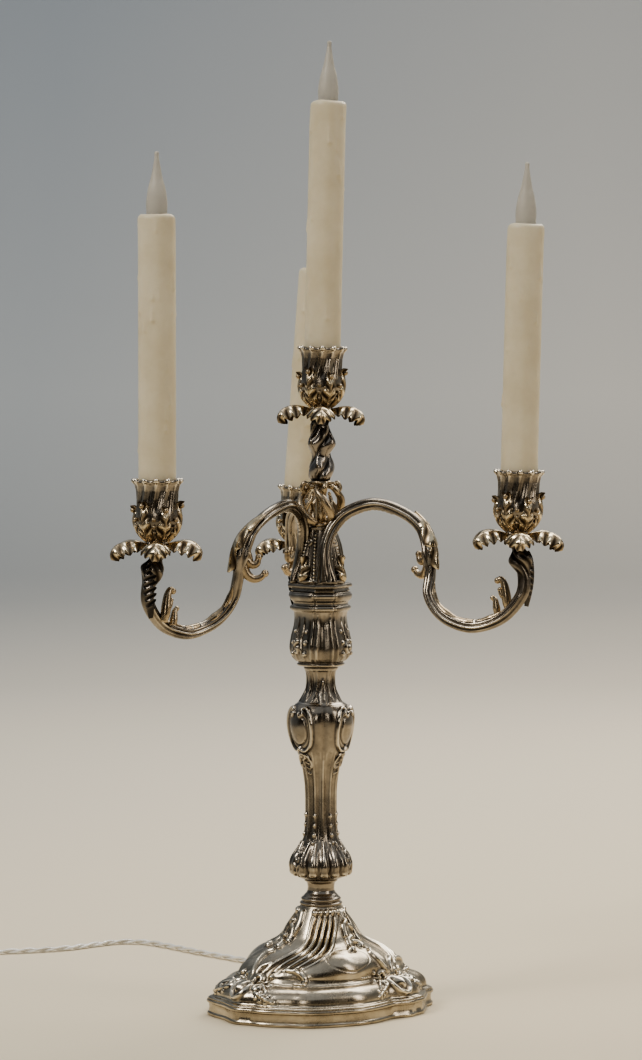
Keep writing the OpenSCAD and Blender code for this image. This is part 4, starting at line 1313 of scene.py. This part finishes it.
def arm(k):
    rows, cols = 300, 64
    path = arm_centre(k, rows)
    along = arc_length(path)
    length = along[-1]
    t = along / length
    way = path[-1, :2] - path[0, :2]
    outward = np.array([*way, 0]) / np.linalg.norm(way)
    cheek = np.cross([0, 0, 1], outward)
    tangent = unit_rows(np.gradient(path, axis=0))
    over = unit_rows(np.cross(tangent, np.broadcast_to(cheek, tangent.shape)))
    aside = np.cross(over, tangent)
    around = np.arange(cols) * 2 * math.pi / cols
    radius = 3.5 + 1.1 * np.abs(2 * t - 1) ** 4 + 2.6 * np.exp(-((length - KNUCKLE_DOWN - along) / 5) ** 2)
    radius -= 1.0 * np.exp(-((length - NECK_DOWN - along) / 3) ** 2)
    radius += 0.9 * np.exp(-((t - KINK + 0.01) / 0.02) ** 2)
    deep = 1 + 0.55 * np.exp(-(along / 9) ** 2)
    thin = 1 - 0.2 * np.exp(-(along / 9) ** 2)
    relief = arm_relief(np.column_stack([radius, along]), cols, length)
    size = radius[:, None] + relief
    grid = (path[:, None, :] + (size * thin[:, None] * np.cos(around))[..., None] * aside[:, None, :]
            - (size * deep[:, None] * np.sin(around))[..., None] * over[:, None, :])
    grid[0, :, 2] = COLLAR_TOP + 0.05
    grid = grid[:, ::-1]
    # painted shade and tarnish: the arm darkens towards its end, under the light's pan
    tarnish_and_shade = 0.16 * np.interp(length - along, (4, 6, 20, 34), (0, 1, 1, 0))[:, None]
    main = closed_grid(grid, np.clip(recess_of(relief, 3, 0.6) + tarnish_and_shade, 0, 1)[:, ::-1])

    def heading(low, high):
        way = path[int(high * (rows - 1))] - path[int(low * (rows - 1))]
        return np.array([way[0], way[1], 0]) / math.hypot(way[0], way[1])

    def leaf_at(base, way, *shape, **more):
        return moved(leaf_skin(*shape, turn=math.degrees(math.atan2(way[1], way[0])), **more), base)

    def scrolls_at(base, way, shapes):
        parts = []
        for curve, radii, ball in shapes:
            parts += horn([base + way * out + [0, 0, up] for out, up in curve], radii, cheek, ball=ball)
        return parts

    kink = path[int(KINK * (rows - 1))]
    kink_way = heading(KINK - 0.12, KINK + 0.10)
    end_way = heading(0.70, 0.90)
    foot_of_light = lights[k].foot
    scrolls = scrolls_at(kink, kink_way, KINK_SCROLLS)
    ridge_rows = np.linspace(*RIDGE, 9) * (rows - 1)
    ridge = [path[int(i)] + over[int(i)] * radius[int(i)] * 0.8 for i in ridge_rows]
    scrolls += horn(ridge, (0.8, 2.2, 1.6, 2.6, 1.7, 2.4, 1.6, 2.3, 0.8), cheek, count=60)
    scrolls.append(leaf_at(kink, kink_way, KINK_LEAF, (1.6, 4.4, 5.4, 4.8, 3.6, 0.9),
                           (0.3, 2.2, 2.6, 2.2, 0.6), 3, reach_out=2.4))
    scrolls += scrolls_at(foot_of_light, end_way, END_SCROLLS)
    outer = leaf_at(foot_of_light, end_way, END_LEAF, (1.4, 3.6, 4.6, 4.8, 4.2, 1.8),
                    (0.5, 2.2, 2.8, 1.6), 9, face=-1, reach_out=0.9, rows=70)
    mesh_piece(f"scroll_arm_{k}", main, ROOT_BODY, stem_silver, nodes=(f"arm_{k}",))
    mesh_piece(f"arm_leaves_{k}", join_parts(scrolls), ROOT_BODY, gilt)
    mesh_piece(f"arm_sheath_{k}", outer, ROOT_BODY, dark_silver)


for k in ARMS:
    arm(k)
